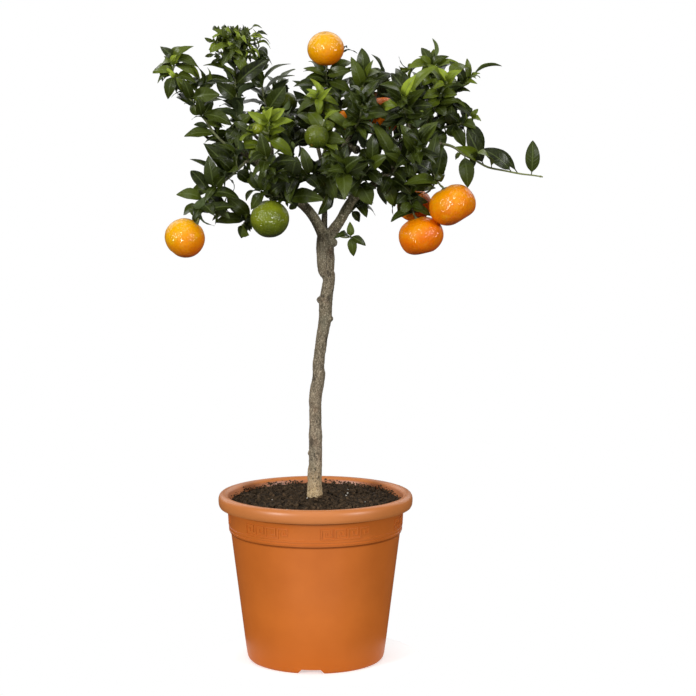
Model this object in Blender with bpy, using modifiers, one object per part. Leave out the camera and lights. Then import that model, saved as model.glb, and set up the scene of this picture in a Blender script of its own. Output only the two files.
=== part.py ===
"""A potted mandarin tree: a small grafted tree with fruit, standing in a round plastic pot of soil.

Lengths are in millimetres and become metres where a mesh is made. Places on the tree are measured
from the pot's own axis on the floor, with X to the right, Y to the back and Z up. The whole plant is
then moved by ORIGIN_SHIFT, so that the origin lies on the floor under the middle of its outline.
"""
import math
import random
from collections import namedtuple

import bmesh
import bpy
from mathutils import Matrix, Vector, noise
from mathutils.bvhtree import BVHTree

MM = 0.001
ORIGIN_SHIFT = Vector((-41.6, -27.0, 0.0))
SEED = 20
CLEAR_GAP = 0.3

# Pot
POT_RIM_R = 120.0
POT_HEIGHT = 208.3
POT_FOOT_R = 84.7
POT_TAPER = 0.125
POT_WALL = 2.6
BAND_TOP = 191.7
BAND_FOOT = 161.0
BAND_R = 107.8
BAND_DRAFT = 0.048
POT_STEPS = 32
FOOT_RECESS = 6.0
FOOT_RING_R = (80.2, 74.2)
POT_FLOOR_TOP = 9.0
POT_CORNER = 3.0
NOTCH_HEIGHT = 5.8
NOTCH_FOOT_WIDTH = 33.0
NOTCH_TOP_WIDTH = 23.5
NOTCH_COUNT = 3
NOTCH_FRONT_ANGLE = math.radians(-94.0)
DRAIN_HOLE_R = 6.0
DRAIN_RING_R = 48.0
DRAIN_COUNT = 4

# Soil
SOIL_EDGE_Z = 196.6
SOIL_MOUND_Z = 204.9
SOIL_MOUND_SPREAD = 34.0
SOIL_RINGS = (0.0, 30.0, 62.0, 92.0)
SOIL_LUMP = 3.2
SOIL_LUMP_SIZE = 13.0
SOIL_CALM_R = (12.0, 24.0)
SOIL_GAP = 2 * CLEAR_GAP
INNER_RIM = (108.0, 203.8)

# Trunk: height above the floor, place to the right of the pot's axis, and radius
TRUNK_FOOT_Z = 100.0
TRUNK_FOOT_R = 6.5
TRUNK_SIDES = 10
TRUNK_HOLE_SIDES = 16
TRUNK = (
    (194, -1, 9.9), (209, -1, 9.4), (220, -1, 8.7), (233, -1, 9.0), (246, 0, 8.1), (278, 0, 8.4),
    (297, 0, 7.5), (327, 0, 7.8), (351, 4, 8.0), (369, 4, 7.2), (400, 8, 7.2), (424, 12, 7.9),
    (447, 13, 8.2), (474, 17, 7.5), (482, 14, 9.7), (494, 13, 10.9), (517, 12, 10.6), (527, 12, 9.5),
)
BARK_RELIEF = 0.35
BARK_RELIEF_SIZE = 9.0
# Pruned stubs and swellings on the trunk: place and radius
KNOBS = ((-6, -3, 258, 4.0), (18, -4, 425, 4.4), (6, -4, 448, 4.6), (22, -5, 518, 5.6))

# Limbs: place and radius of each point
LIMBS = {
    "left": (
        (13, 0, 520, 7.9), (4, -4, 539, 6.4), (-6, -8, 555, 6.1), (-20, -12, 569, 5.9),
        (-38, -14, 583, 5.1), (-59, -17, 607, 4.1), (-90, -22, 631, 2.9),
    ),
    "left_back": (
        (-29, -13, 576, 4.3), (-38, 25, 595, 3.7), (-53, 70, 618, 3.1), (-67, 105, 637, 2.6),
    ),
    "middle": (
        (11, 0, 528, 4.1), (12, 22, 562, 3.4), (13, 50, 585, 3.0), (8, 85, 613, 2.7), (2, 115, 636, 2.4),
    ),
    "right": (
        (13, 0, 520, 7.9), (30, -4, 544, 6.4), (46, -8, 571, 5.8), (70, -12, 588, 5.1),
        (99, -10, 615, 4.3), (114, -6, 633, 3.7), (114, 0, 666, 2.9),
    ),
    "upright": (
        (46, -8, 569, 4.5), (41, -10, 586, 4.0), (37, -10, 609, 3.7), (39, -8, 636, 3.5),
        (39, 2, 676, 2.6),
    ),
    "right_back": (
        (83, -12, 601, 3.9), (95, 30, 614, 3.4), (109, 75, 636, 2.9), (117, 112, 657, 2.5),
    ),
}

# Leafy stems
TWIG_R = 2.1
TWIG_END = 3.0
STEM_R = 1.7
STEM_TIP_R = 1.05
STALK_R = 1.3
BLADE_THICK = 0.7
BLADE_ARCH = 0.12
GUARD_START = 6.0
LEAF_CLEAR = 0.9
FOOT_CLEAR = 0.4
SHORT_LEAF = 30.0
# Leaves set by rule: the turn of the spiral, their length, width, lean from the stem and droop
TURN = math.radians(137.5)
FREE_LEAF = (31.0, 42.0)
LEAF_SLIMNESS = 0.42
LEAF_LEAN = (48.0, 68.0)
LEAN_LOST_AT_TIP = 22.0
LEAF_LIFT = 0.12
CROWN_TOP = 783.0
TRIES = 14
TRY_TURN = 0.9
TRY_SHRINK = 0.03
# Leaves drawn by hand: how far the tip may move in depth and the blade turn to come clear
NUDGES = (
    (0, 0), (9, 0), (-9, 0), (0, 25), (0, -25), (16, 20), (-16, 20), (16, -20), (-16, -20), (24, 0),
    (-24, 0),
)

# Each leafy stem is drawn by hand: the route of its woody twig, the route of its green stem, and the
# leaves that stand out. Such a leaf has the share of the stem where it grows, its tip, its width and
# how far it faces up from facing the front (degrees). fill is a count of leaves set by rule, the
# share of the stem where they start, and a factor on their length.
Shoot = namedtuple("Shoot", "name twig stem leaves fill", defaults=((), (0, 0.2, 1.0)))

SHOOTS = (
    Shoot(
        "left_tip",
        ((-90, -22, 631), (-97, -24, 633)),
        ((-99, -24, 633), (-112, -27, 642), (-122, -30, 653), (-131, -33, 667), (-142, -36, 680),
        (-149, -36, 693), (-160, -36, 708), (-169, -35, 719), (-168, -33, 738)),
        ((1.0, -180, -41, 754, 11, 30), (1.0, -165, -29, 758, 10, 70), (1.0, -152, -39, 755, 11, 30),
        (1.0, -140, -43, 736, 14, 40), (0.95, -135, -34, 721, 17, 50), (0.98, -184, -29, 737, 15, 50),
        (0.91, -193, -42, 734, 14, 40), (0.86, -175, -45, 696, 14, 15), (0.83, -145, -47, 719, 15, 45),
        (0.64, -162, -46, 716, 14, 30), (0.6, -153, -52, 712, 12, 20), (0.6, -115, -46, 699, 18, 20),
        (0.47, -114, -29, 697, 15, 70), (0.54, -163, -32, 700, 15, 60), (0.42, -138, -46, 692, 12, 25),
        (0.43, -98, -38, 664, 17, 45), (0.36, -110, -49, 663, 18, 20), (0.2, -156, -37, 649, 14, 45)),
        (0, 0.25, 1.0),
    ),
    Shoot(
        "left_crown",
        ((-85, -21, 628), (-93, -17, 637)),
        ((-93, -16, 639), (-94, -12, 655), (-94, -6, 673), (-96, -2, 705), (-96, 0, 731), (-97, 0, 753),
        (-99, 0, 770)),
        ((0.55, -150, -8, 710, 17, 60), (0.4, -116, -20, 710, 16, 15), (0.56, -130, -12, 737, 15, 70),
        (0.59, -104, -13, 731, 6, 40), (0.53, -58, -16, 740, 17, 15), (0.82, -59, 6, 751, 17, 60),
        (0.76, -55, -10, 743, 16, 40), (0.92, -57, 6, 765, 17, 60), (0.14, -79, -21, 673, 17, 30),
        (0.9, -130, -8, 762, 11, 30), (0.85, -130, -8, 743, 13, 40), (0.83, -122, -10, 736, 11, 40),
        (0.94, -122, 6, 777, 11, 40), (0.96, -111, -10, 781, 11, 30), (0.97, -100, 6, 784, 9, 20),
        (0.96, -86, -8, 782, 11, 30), (0.95, -68, -10, 781, 11, 25), (0.92, -60, -6, 773, 12, 35),
        (0.88, -58, 8, 760, 15, 50), (0.85, -68, -8, 750, 11, 30), (0.83, -82, 8, 742, 12, 35),
        (0.92, -108, -22, 767, 11, 15), (0.9, -86, -24, 766, 11, 15), (0.85, -98, -26, 754, 11, 15),
        (0.94, -93, 22, 775, 11, 30), (0.88, -118, 20, 760, 13, 40), (0.9, -76, 22, 768, 11, 30)),
        (7, 0.62, 0.7),
    ),
    Shoot(
        "left_inner",
        ((-59, -17, 607), (-59, -12, 619), (-58, -2, 634)),
        ((-58, -1, 636), (-57, 8, 657), (-58, 14, 681), (-62, 14, 694), (-65, 12, 718), (-64, 10, 731)),
        ((0.8, -30, 22, 736, 12, 75), (0.66, -26, 10, 722, 15, 70), (0.43, -36, -1, 707, 19, 15),
        (0.57, -86, 22, 708, 10, 75), (0.5, -93, 8, 689, 15, 70), (0.73, -76, 3, 719, 13, 30)),
        (3, 0.25, 1.0),
    ),
    Shoot(
        "left_rosette",
        ((-69, -18, 615), (-62, -28, 629)),
        ((-62, -29, 631), (-57, -36, 643), (-55, -42, 658), (-55, -46, 667)),
        ((0.87, -77, -58, 677, 12, 10), (0.95, -60, -51, 682, 11, 10), (0.98, -37, -56, 681, 13, 20),
        (0.68, -27, -53, 668, 14, 40), (0.38, -26, -46, 627, 15, 30), (0.27, -55, -50, 630, 6, 20),
        (0.14, -92, -42, 635, 14, 40), (0.62, -81, -56, 658, 14, 40)),
        (3, 0.4, 0.8),
    ),
    Shoot(
        "left_low",
        ((-59, -17, 607), (-71, -22, 617), (-83, -30, 616)),
        ((-85, -31, 615), (-104, -38, 598), (-114, -41, 591), (-126, -44, 582), (-133, -45, 572),
        (-136, -46, 562), (-139, -46, 551)),
        ((0.22, -132, -42, 640, 18, 25), (0.41, -145, -50, 624, 11, 50), (0.54, -126, -57, 623, 17, 15),
        (0.63, -148, -40, 608, 15, 35), (0.75, -164, -51, 582, 15, 45), (0.49, -131, -52, 574, 9, 40),
        (0.82, -143, -62, 554, 12, 20), (0.85, -160, -36, 556, 13, 40), (0.68, -93, -50, 581, 17, 50),
        (0.94, -96, -60, 567, 14, 30), (0.3, -94, -32, 581, 7, 70), (0.22, -112, -48, 622, 16, 25)),
        (0, 0.25, 1.0),
    ),
    Shoot(
        "left_under",
        ((-38, -14, 584), (-50, 0, 568), (-65, -4, 555)),
        ((-66, -5, 554), (-77, -10, 548), (-84, -16, 545), (-87, -22, 539)),
        ((0.45, -105, -25, 575, 17, 15), (0.68, -119, -25, 548, 15, 35), (0.9, -89, -30, 528, 12, 20),
        (0.42, -83, 2, 529, 9, 40)),
        (2, 0.25, 1.0),
    ),
    Shoot(
        "left_front",
        ((-17, -11, 567), (-23, -24, 567)),
        ((-25, -26, 567), (-35, -36, 572), (-46, -44, 577), (-56, -50, 579), (-63, -54, 582)),
        ((0.91, -60, -68, 613, 16, 10), (1.0, -76, -62, 564, 13, 15), (0.58, -33, -54, 612, 14, 20),
        (0.39, -18, -52, 599, 15, 25), (0.29, 8, -56, 577, 19, 35), (0.12, -23, -14, 561, 13, 40),
        (0.98, -81, -42, 601, 15, 30)),
        (1, 0.25, 1.0),
    ),
    Shoot(
        "centre_left",
        ((39, -10, 618), (25, -20, 610)),
        ((23, -22, 609), (8, -32, 605), (-6, -42, 601), (-18, -50, 599), (-29, -56, 601)),
        ((0.98, -22, -63, 624, 18, 10), (0.57, -14, -52, 633, 13, 20), (0.06, -1, -40, 616, 17, 50),
        (0.8, -44, -40, 630, 14, 40), (0.29, -5, -46, 594, 12, 45), (0.19, 25, -42, 576, 12, 20)),
        (3, 0.25, 1.0),
    ),
    Shoot(
        "centre_green",
        ((39, -8, 643), (30, -28, 631)),
        ((29, -30, 630), (20, -48, 629), (14, -62, 637), (12, -70, 649), (12, -74, 656)),
        ((0.94, 20, -82, 669, 13, 15), (0.82, 32, -82, 646, 14, 20), (0.54, 31, -72, 628, 13, 20),
        (0.89, -8, -65, 679, 15, 20), (0.94, -21, -62, 676, 13, 20)),
        (3, 0.25, 1.0),
    ),
    Shoot(
        "top_fruit",
        ((40, -2, 666), (29, -2, 679)),
        ((28, -2, 680), (19, -4, 691), (16, -6, 703), (14, -10, 717), (13, -13, 726)),
        ((0.53, -24, -12, 712, 17, 50), (0.77, -12, -17, 728, 12, 60), (0.67, -8, -20, 721, 15, 55),
        (0.85, 42, -23, 728, 13, 25), (0.71, 43, -19, 703, 13, 40), (0.81, 45, 0, 741, 13, 40),
        (0.81, 45, 4, 763, 14, 40), (0.78, 43, 10, 771, 12, 60)),
        (3, 0.25, 1.0),
    ),
    Shoot(
        "top_rosette",
        ((39, 2, 676), (28, -14, 672), (16, -28, 672)),
        ((14, -30, 672), (7, -40, 679), (5, -46, 689), (5, -50, 696)),
        ((0.8, -21, -57, 679, 13, 40), (0.87, -5, -56, 704, 8, 30), (0.89, 8, -56, 708, 8, 30),
        (0.8, 6, -63, 676, 10, 10), (0.87, 25, -60, 691, 10, 35), (0.33, 30, -46, 682, 11, 40),
        (0.89, -14, -40, 697, 11, 50)),
        (4, 0.4, 0.7),
    ),
    Shoot(
        "top_centre",
        ((39, 2, 676), (45, -6, 687)),
        ((46, -7, 688), (52, -16, 698), (57, -22, 707), (60, -26, 718)),
        ((0.91, 56, -33, 752, 17, 10), (0.63, 46, -35, 737, 15, 15), (0.66, 74, -35, 723, 12, 25),
        (0.49, 92, -8, 725, 16, 25), (0.27, 70, -31, 699, 13, 35), (0.91, 78, -17, 728, 15, 60),
        (0.17, 33, 1, 703, 16, 40)),
        (3, 0.25, 1.0),
    ),
    Shoot(
        "right_rosette",
        ((114, -1, 662), (114, -10, 670)),
        ((114, -12, 672), (115, -22, 684), (115, -30, 696)),
        ((0.83, 108, -37, 707, 7, 10), (0.88, 117, -40, 712, 9, 20), (0.69, 97, -35, 698, 10, 45),
        (0.69, 92, -13, 725, 15, 20), (0.47, 99, -1, 734, 15, 30), (0.88, 135, -44, 731, 15, 20),
        (0.18, 91, -30, 692, 13, 25)),
        (3, 0.4, 0.7),
    ),
    Shoot(
        "right_top",
        ((114, 0, 666), (125, 6, 676)),
        ((126, 7, 677), (138, 10, 688), (144, 10, 705), (143, 8, 721), (140, 6, 734)),
        ((1.0, 131, 0, 752, 12, 20), (0.95, 156, -2, 745, 10, 35), (0.95, 113, 0, 731, 15, 50),
        (0.83, 171, 0, 740, 12, 60), (0.73, 152, -6, 705, 13, 30), (0.45, 125, 0, 700, 14, 30)),
        (4, 0.25, 1.0),
    ),
    Shoot(
        "right_bright",
        ((114, -3, 654), (127, -4, 664), (139, -8, 674)),
        ((140, -8, 675), (148, -12, 686), (155, -16, 703), (161, -18, 716)),
        ((0.92, 151, -26, 728, 8, 30), (0.98, 169, -28, 726, 10, 30), (0.77, 174, -28, 718, 12, 35),
        (0.56, 131, -27, 696, 14, 40), (0.44, 161, -25, 710, 13, 40), (0.3, 172, -28, 691, 14, 40)),
        (2, 0.25, 1.0),
    ),
    Shoot(
        "right_spray",
        ((114, -3, 654), (130, 6, 660), (147, 10, 670)),
        ((149, 10, 671), (162, 8, 686), (174, 4, 703), (183, 2, 711), (190, 0, 719)),
        ((0.97, 197, -4, 724, 6, 40), (0.94, 201, 7, 721, 8, 50), (0.81, 165, -6, 737, 12, 25),
        (0.74, 190, -7, 715, 11, 40), (0.51, 185, -6, 703, 11, 40), (0.36, 194, -3, 669, 14, 45)),
        (2, 0.25, 1.0),
    ),
    Shoot(
        "right_side",
        ((113, -4, 645), (132, -2, 651), (149, 0, 656)),
        ((151, 0, 656), (166, -4, 660), (180, -6, 663), (191, -6, 669)),
        ((0.97, 195, -12, 679, 7, 30), (0.97, 201, 2, 668, 9, 50), (0.78, 204, -14, 631, 17, 15),
        (0.37, 181, -18, 634, 14, 20), (0.32, 165, -13, 682, 14, 30), (0.72, 188, 4, 683, 14, 40),
        (0.04, 151, -12, 631, 15, 25)),
        (2, 0.25, 1.0),
    ),
    Shoot(
        "far_right",
        ((113, -5, 641), (133, -12, 643), (152, -18, 638)),
        ((154, -18, 638), (163, -20, 636), (171, -20, 632), (178, -20, 626), (194, -20, 618),
        (209, -19, 610), (228, -18, 606), (248, -16, 602), (264, -14, 600), (276, -12, 598)),
        ((0.89, 263, -18, 642, 17, 5), (0.7, 204, -23, 633, 17, 30), (0.76, 206, -6, 637, 15, 50),
        (0.63, 192, -34, 619, 16, 35), (0.43, 183, -11, 656, 17, 15), (0.23, 184, -30, 587, 18, 10),
        (0.33, 170, -36, 637, 14, 30), (0.51, 195, -39, 630, 14, 30), (0.19, 169, -24, 621, 6, 50)),
        (0, 0.25, 1.0),
    ),
    Shoot(
        "right_hang",
        ((109, -8, 623), (118, -18, 619)),
        ((120, -20, 618), (131, -28, 612), (140, -34, 605), (146, -38, 596), (151, -40, 588)),
        ((0.98, 150, -50, 623, 16, 10), (0.86, 112, -51, 595, 16, 25), (0.65, 118, -49, 618, 17, 30),
        (0.51, 146, -45, 651, 15, 25), (0.24, 140, -14, 635, 16, 25)),
        (1, 0.25, 1.0),
    ),
    Shoot(
        "right_drop",
        ((99, -10, 615), (104, -14, 601)),
        ((105, -14, 599), (111, -20, 583), (113, -24, 574), (117, -28, 561), (120, -30, 551)),
        ((0.92, 91, -41, 548, 13, 35), (0.8, 135, -42, 559, 12, 35), (0.38, 125, -35, 593, 16, 25),
        (0.36, 90, -6, 554, 12, 60), (0.17, 122, -7, 617, 17, 30)),
        (1, 0.25, 1.0),
    ),
    Shoot(
        "right_inner",
        ((68, -12, 587), (78, -22, 594)),
        ((80, -24, 595), (88, -36, 598), (94, -48, 606), (99, -56, 615)),
        ((0.12, 97, -18, 563, 17, 20), (0.32, 115, -45, 582, 15, 25), (0.59, 70, -58, 620, 15, 30),
        (0.83, 117, -64, 632, 15, 30), (0.92, 90, -64, 643, 15, 15), (0.24, 81, -18, 571, 13, 30)),
        (3, 0.25, 1.0),
    ),
    Shoot(
        "low_centre",
        ((51, -9, 576), (54, -20, 583)),
        ((55, -22, 584), (54, -32, 593), (59, -42, 603), (68, -50, 613)),
        ((0.2, 68, -38, 567, 19, 15), (0.46, 33, -48, 576, 13, 25), (0.8, 81, -58, 592, 15, 30),
        (0.7, 42, -57, 624, 16, 25), (0.95, 93, -61, 618, 16, 40), (0.89, 74, -56, 639, 16, 15)),
        (2, 0.25, 1.0),
    ),
    Shoot(
        "trunk_star",
        ((18, -3, 532), (26, -18, 528)),
        ((27, -20, 528), (36, -26, 526), (43, -32, 527)),
        ((1.0, 42, -38, 543, 9, 20), (1.0, 46, -40, 507, 11, 10), (1.0, 59, -42, 520, 10, 20),
        (0.79, 29, -47, 533, 9, 40)),
        (0, 0.25, 1.0),
    ),
    Shoot(
        "low_right",
        ((34, -5, 550), (41, 6, 555)),
        ((43, 8, 555), (50, 16, 561), (54, 22, 565)),
        ((0.09, 56, 1, 543, 11, 30), (0.66, 76, 23, 553, 12, 60), (0.86, 62, 8, 553, 13, 40),
        (0.76, 70, 28, 577, 13, 40)),
        (1, 0.25, 1.0),
    ),
    Shoot(
        "back_left",
        ((-67, 105, 637), (-78, 114, 646)),
        ((-79, 116, 648), (-93, 130, 664), (-101, 140, 685), (-103, 146, 704)),
        (),
        (9, 0.1, 1.0),
    ),
    Shoot(
        "back_left_low",
        ((-53, 70, 618), (-70, 84, 617)),
        ((-72, 86, 617), (-92, 100, 611), (-109, 112, 601)),
        (),
        (8, 0.1, 1.0),
    ),
    Shoot(
        "back_left_top",
        ((-53, 70, 618), (-54, 74, 644)),
        ((-54, 75, 647), (-52, 82, 675), (-48, 88, 702)),
        (),
        (8, 0.1, 1.0),
    ),
    Shoot(
        "back_middle",
        ((2, 115, 636), (-1, 126, 649)),
        ((-2, 128, 651), (-7, 142, 671), (-9, 150, 695)),
        (),
        (9, 0.1, 1.0),
    ),
    Shoot(
        "back_middle_low",
        ((8, 85, 613), (11, 102, 605)),
        ((11, 105, 604), (16, 130, 595), (20, 152, 589)),
        (),
        (8, 0.1, 1.0),
    ),
    Shoot(
        "back_middle_top",
        ((8, 85, 613), (18, 86, 644)),
        ((19, 86, 647), (26, 88, 677), (30, 90, 706)),
        (),
        (8, 0.1, 1.0),
    ),
    Shoot(
        "back_right",
        ((117, 112, 657), (122, 122, 667)),
        ((123, 124, 669), (132, 134, 687), (134, 140, 706)),
        (),
        (8, 0.1, 1.0),
    ),
    Shoot(
        "back_right_low",
        ((109, 75, 636), (124, 84, 632)),
        ((127, 86, 631), (148, 96, 622), (164, 104, 609)),
        (),
        (8, 0.1, 1.0),
    ),
    Shoot(
        "back_right_top",
        ((109, 75, 636), (99, 78, 659)),
        ((98, 78, 662), (89, 84, 687), (83, 88, 710)),
        (),
        (8, 0.1, 1.0),
    ),
    Shoot(
        "front_left",
        ((-38, -14, 583), (-44, -40, 595)),
        ((-45, -43, 596), (-52, -75, 609), (-58, -105, 626)),
        (),
        (7, 0.15, 1.0),
    ),
    Shoot(
        "front_middle",
        ((37, -10, 609), (30, -40, 609)),
        ((29, -43, 609), (30, -72, 605), (34, -100, 607)),
        (),
        (7, 0.15, 1.0),
    ),
    Shoot(
        "front_middle_top",
        ((39, -8, 636), (44, -36, 650)),
        ((44, -39, 652), (52, -70, 667), (56, -96, 687)),
        (),
        (7, 0.15, 1.0),
    ),
    Shoot(
        "front_right",
        ((86, -12, 603), (97, -40, 611)),
        ((98, -43, 612), (111, -76, 622), (120, -104, 638)),
        (),
        (7, 0.15, 1.0),
    ),
    Shoot(
        "front_right_top",
        ((114, -4, 650), (111, -32, 659)),
        ((111, -35, 661), (107, -66, 675), (103, -92, 693)),
        (),
        (7, 0.15, 1.0),
    ),
)

FRUIT_SHOULDER = 0.96
STALK_FOOT = 7.0
SMALL_FRUIT_R = 16.0
# Fruit: centre, radius, height over width, direction of the stalk, stem and share that carry it
Fruit = namedtuple("Fruit", "name centre radius flat stalk stem share ripe")
FRUITS = (
    Fruit("mandarin_top", (13, -16, 752), 22.0, 0.93, (0.05, 0.3, -0.95), "top_fruit", 1.0, 1.0),
    Fruit("mandarin_left", (-156, -46, 527), 24.2, 0.96, (0.62, 0.02, 0.78), "left_low", 1.0, 0.9),
    Fruit("mandarin_low_right", (128, -32, 528), 27.2, 0.84, (-0.28, 0.08, 0.95), "right_drop", 1.0, 1.0),
    Fruit("mandarin_right", (165, -42, 566), 29.3, 0.80, (-0.5, 0.05, 0.87), "right_hang", 1.0, 1.0),
    Fruit("mandarin_back_right", (121, 6, 563), 21.2, 0.9, (-0.25, -0.5, 0.83), "right_drop", 0.35, 1.0),
    Fruit("mandarin_inner", (81, 22, 670), 25.0, 0.9, (-0.6, -0.1, 0.79), "top_centre", 0.12, 1.0),
    Fruit("mandarin_small", (33, -38, 667), 11.8, 0.95, (-0.8, 0.2, 0.56), "top_rosette", 0.1, 0.8),
    Fruit("green_mandarin_left", (-54, -50, 550), 23.2, 0.97, (0.05, 0.2, 0.97), "left_front", 0.62, 0.0),
    Fruit("green_mandarin_centre", (2, -85, 649), 14.3, 0.98, (0.45, 0.5, 0.74), "centre_green", 0.75, 0.0),
    Fruit("green_mandarin_back", (-34, 32, 687), 12.5, 0.98, (-0.75, -0.3, 0.58), "left_inner", 0.45, 0.0),
    Fruit("green_mandarin_small", (-68, -58, 657), 6.5, 1.0, (0.8, 0.45, -0.4), "left_rosette", 0.6, 0.0),
)

# Open sky seen from the front between the leaves: place to the right, height, radius
SKY = (
    (-130, 745, 14), (-145, 760, 8), (-19, 753, 22), (-30, 770, 26), (65, 775, 26), (94, 760, 22),
    (-44, 720, 8), (-38, 743, 12), (108, 743, 9), (-13, 718, 8), (-165, 671, 16), (-185, 644, 30),
    (-166, 605, 12), (-113, 621, 8), (-115, 675, 4), (-74, 693, 8), (211, 693, 30), (222, 658, 22),
    (237, 624, 14), (178, 605, 12), (209, 585, 24), (168, 644, 7), (-96, 595, 9), (-58, 654, 5),
    (-19, 654, 4), (-52, 638, 6), (1, 624, 8), (-9, 593, 6), (20, 595, 5), (-9, 546, 12), (60, 546, 16),
    (79, 565, 10), (84, 536, 18), (99, 595, 4), (130, 605, 4), (-108, 526, 20),
    (200, 734, 11), (-89, 514, 10), (75, 739, 7), (129, 765, 10), (166, 620, 10), (163, 593, 7),
    (-74, 654, 4), (-56, 630, 7), (-42, 621, 5), (-22, 710, 5), (205, 646, 5), (293, 603, 15),
    (274, 582, 10), (-1, 622, 7), (-13, 604, 6), (105, 608, 4), (83, 588, 4), (2, 596, 4), (-48, 707, 4),
)
# The pruned wood and the main limb show between the leaves here
WINDOWS = ((30, 565, 10), (50, 583, 8), (75, 595, 9), (93, 611, 9), (107, 624, 7), (-13, 566, 10))
EYE_DISTANCE = 2700.0
EYE_HEIGHT = 720.0


def clear_scene():
    for old in list(bpy.data.objects):
        bpy.data.objects.remove(old)


def new_collection(name):
    made = bpy.data.collections.new(name)
    bpy.context.scene.collection.children.link(made)
    return made


def paint(name, colour, roughness):
    made = bpy.data.materials.new(name)
    made.use_nodes = True
    shader = made.node_tree.nodes["Principled BSDF"]
    shader.inputs["Base Color"].default_value = (*colour, 1.0)
    shader.inputs["Roughness"].default_value = roughness
    shader.inputs["Metallic"].default_value = 0.0
    return made


def world(point):
    """A place on the plant, in metres from the origin."""
    return (Vector(point) + ORIGIN_SHIFT) * MM


def mesh_object(name, points, faces, collection):
    mesh = bpy.data.meshes.new(name)
    mesh.from_pydata([tuple(world(p)) for p in points], [], faces)
    mesh.update()
    made = bpy.data.objects.new(name, mesh)
    collection.objects.link(made)
    return made


def own(made, name, collection):
    """Names a new primitive and moves it into its collection."""
    made.name = name
    for holder in list(made.users_collection):
        holder.objects.unlink(made)
    collection.objects.link(made)
    return made


def freeze(made):
    """Gives an object the mesh that its modifiers make."""
    graph = bpy.context.evaluated_depsgraph_get()
    mesh = bpy.data.meshes.new_from_object(made.evaluated_get(graph))
    made.modifiers.clear()
    old = made.data
    made.data = mesh
    bpy.data.meshes.remove(old)
    return made


def finish(made, name, material, crease=40.0):
    made.name = name
    made.data.name = name
    made.data.materials.clear()
    made.data.materials.append(material)
    made.data.shade_smooth()
    made.data.set_sharp_from_angle(angle=math.radians(crease))
    return made


def join_by_union(base, others, collection):
    """Joins loose shapes to a base by one Boolean union, then removes them."""
    if not others:
        return base
    loose = new_collection(base.name + "_loose")
    for other in others:
        collection.objects.unlink(other)
        loose.objects.link(other)
    union = base.modifiers.new("union", "BOOLEAN")
    union.operation = "UNION"
    union.operand_type = "COLLECTION"
    union.collection = loose
    union.solver = "MANIFOLD"
    freeze(base)
    for other in others:
        mesh = other.data
        bpy.data.objects.remove(other)
        bpy.data.meshes.remove(mesh)
    bpy.data.collections.remove(loose)
    return base


def cut_by(base, cutter):
    cut = base.modifiers.new("cut_" + cutter.name, "BOOLEAN")
    cut.operation = "DIFFERENCE"
    cut.object = cutter


def turned(name, profile, steps, collection):
    """A profile of radius and height turned about the pot's axis, read down its outer side."""
    mesh = bpy.data.meshes.new(name)
    points = [(r * MM, 0.0, z * MM) for r, z in profile]
    mesh.from_pydata(points, [(i, i + 1) for i in range(len(points) - 1)], [])
    made = bpy.data.objects.new(name, mesh)
    made.location = ORIGIN_SHIFT * MM
    collection.objects.link(made)
    screw = made.modifiers.new("turn", "SCREW")
    screw.angle = 2 * math.pi
    screw.steps = steps
    screw.render_steps = steps
    screw.use_merge_vertices = True
    screw.merge_threshold = 0.00005
    screw.use_smooth_shade = True
    return made


def pot_wall_r(z):
    return POT_FOOT_R + POT_TAPER * z


def pot_profile():
    inside = pot_wall_r(POT_FLOOR_TOP) - POT_WALL
    band_inside = pot_wall_r(BAND_FOOT) - POT_WALL
    rim_inside = BAND_R - POT_WALL
    band_foot_r = BAND_R - BAND_DRAFT * (BAND_TOP - BAND_FOOT)
    ring_out, ring_in = FOOT_RING_R
    return (
        (0, POT_FLOOR_TOP), (inside - POT_CORNER, POT_FLOOR_TOP), (inside, POT_FLOOR_TOP + POT_CORNER),
        (band_inside, BAND_FOOT), (rim_inside, BAND_TOP), INNER_RIM, (110.5, 207.3), (113.5, POT_HEIGHT),
        (117, 207.5), (119.4, 204.5), (POT_RIM_R, 200.2), (119.6, 195.1), (118, 192.2), (BAND_R, BAND_TOP),
        (band_foot_r, BAND_FOOT + 0.8), (pot_wall_r(BAND_FOOT - 1.4), BAND_FOOT - 1.4),
        (pot_wall_r(16), 16), (85.3, 7.1), (83.5, 2.3), (ring_out, 0), (ring_in, 0),
        (ring_in - 0.6, FOOT_RECESS), (0, FOOT_RECESS),
    )


def notch_cutter(angle, collection):
    """A trapezoid bar laid through the foot ring."""
    half = (NOTCH_FOOT_WIDTH / 2, NOTCH_TOP_WIDTH / 2)
    spread = (half[0] - half[1]) / NOTCH_HEIGHT
    low = -4.0
    section = (
        (-(half[0] - spread * low), low), (half[0] - spread * low, low),
        (half[1], NOTCH_HEIGHT), (-half[1], NOTCH_HEIGHT),
    )
    near, far = POT_FOOT_R * 0.7, POT_FOOT_R * 1.2
    out = Vector((math.cos(angle), math.sin(angle), 0))
    side = Vector((-math.sin(angle), math.cos(angle), 0))
    points = [out * r + side * s + Vector((0, 0, z)) for r in (near, far) for s, z in section]
    faces = [(0, 3, 2, 1), (4, 5, 6, 7), (0, 1, 5, 4), (1, 2, 6, 5), (2, 3, 7, 6), (3, 0, 4, 7)]
    return mesh_object("notch_cutter", points, faces, collection)


def drain_cutter(angle, collection):
    place = world((DRAIN_RING_R * math.cos(angle), DRAIN_RING_R * math.sin(angle), FOOT_RECESS))
    bpy.ops.mesh.primitive_cylinder_add(
        vertices=10, radius=DRAIN_HOLE_R * MM, depth=4 * FOOT_RECESS * MM, location=place
    )
    return own(bpy.context.object, "drain_cutter", collection)


def hide_cutter(made):
    made.hide_render = True
    made.display_type = "WIRE"


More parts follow.
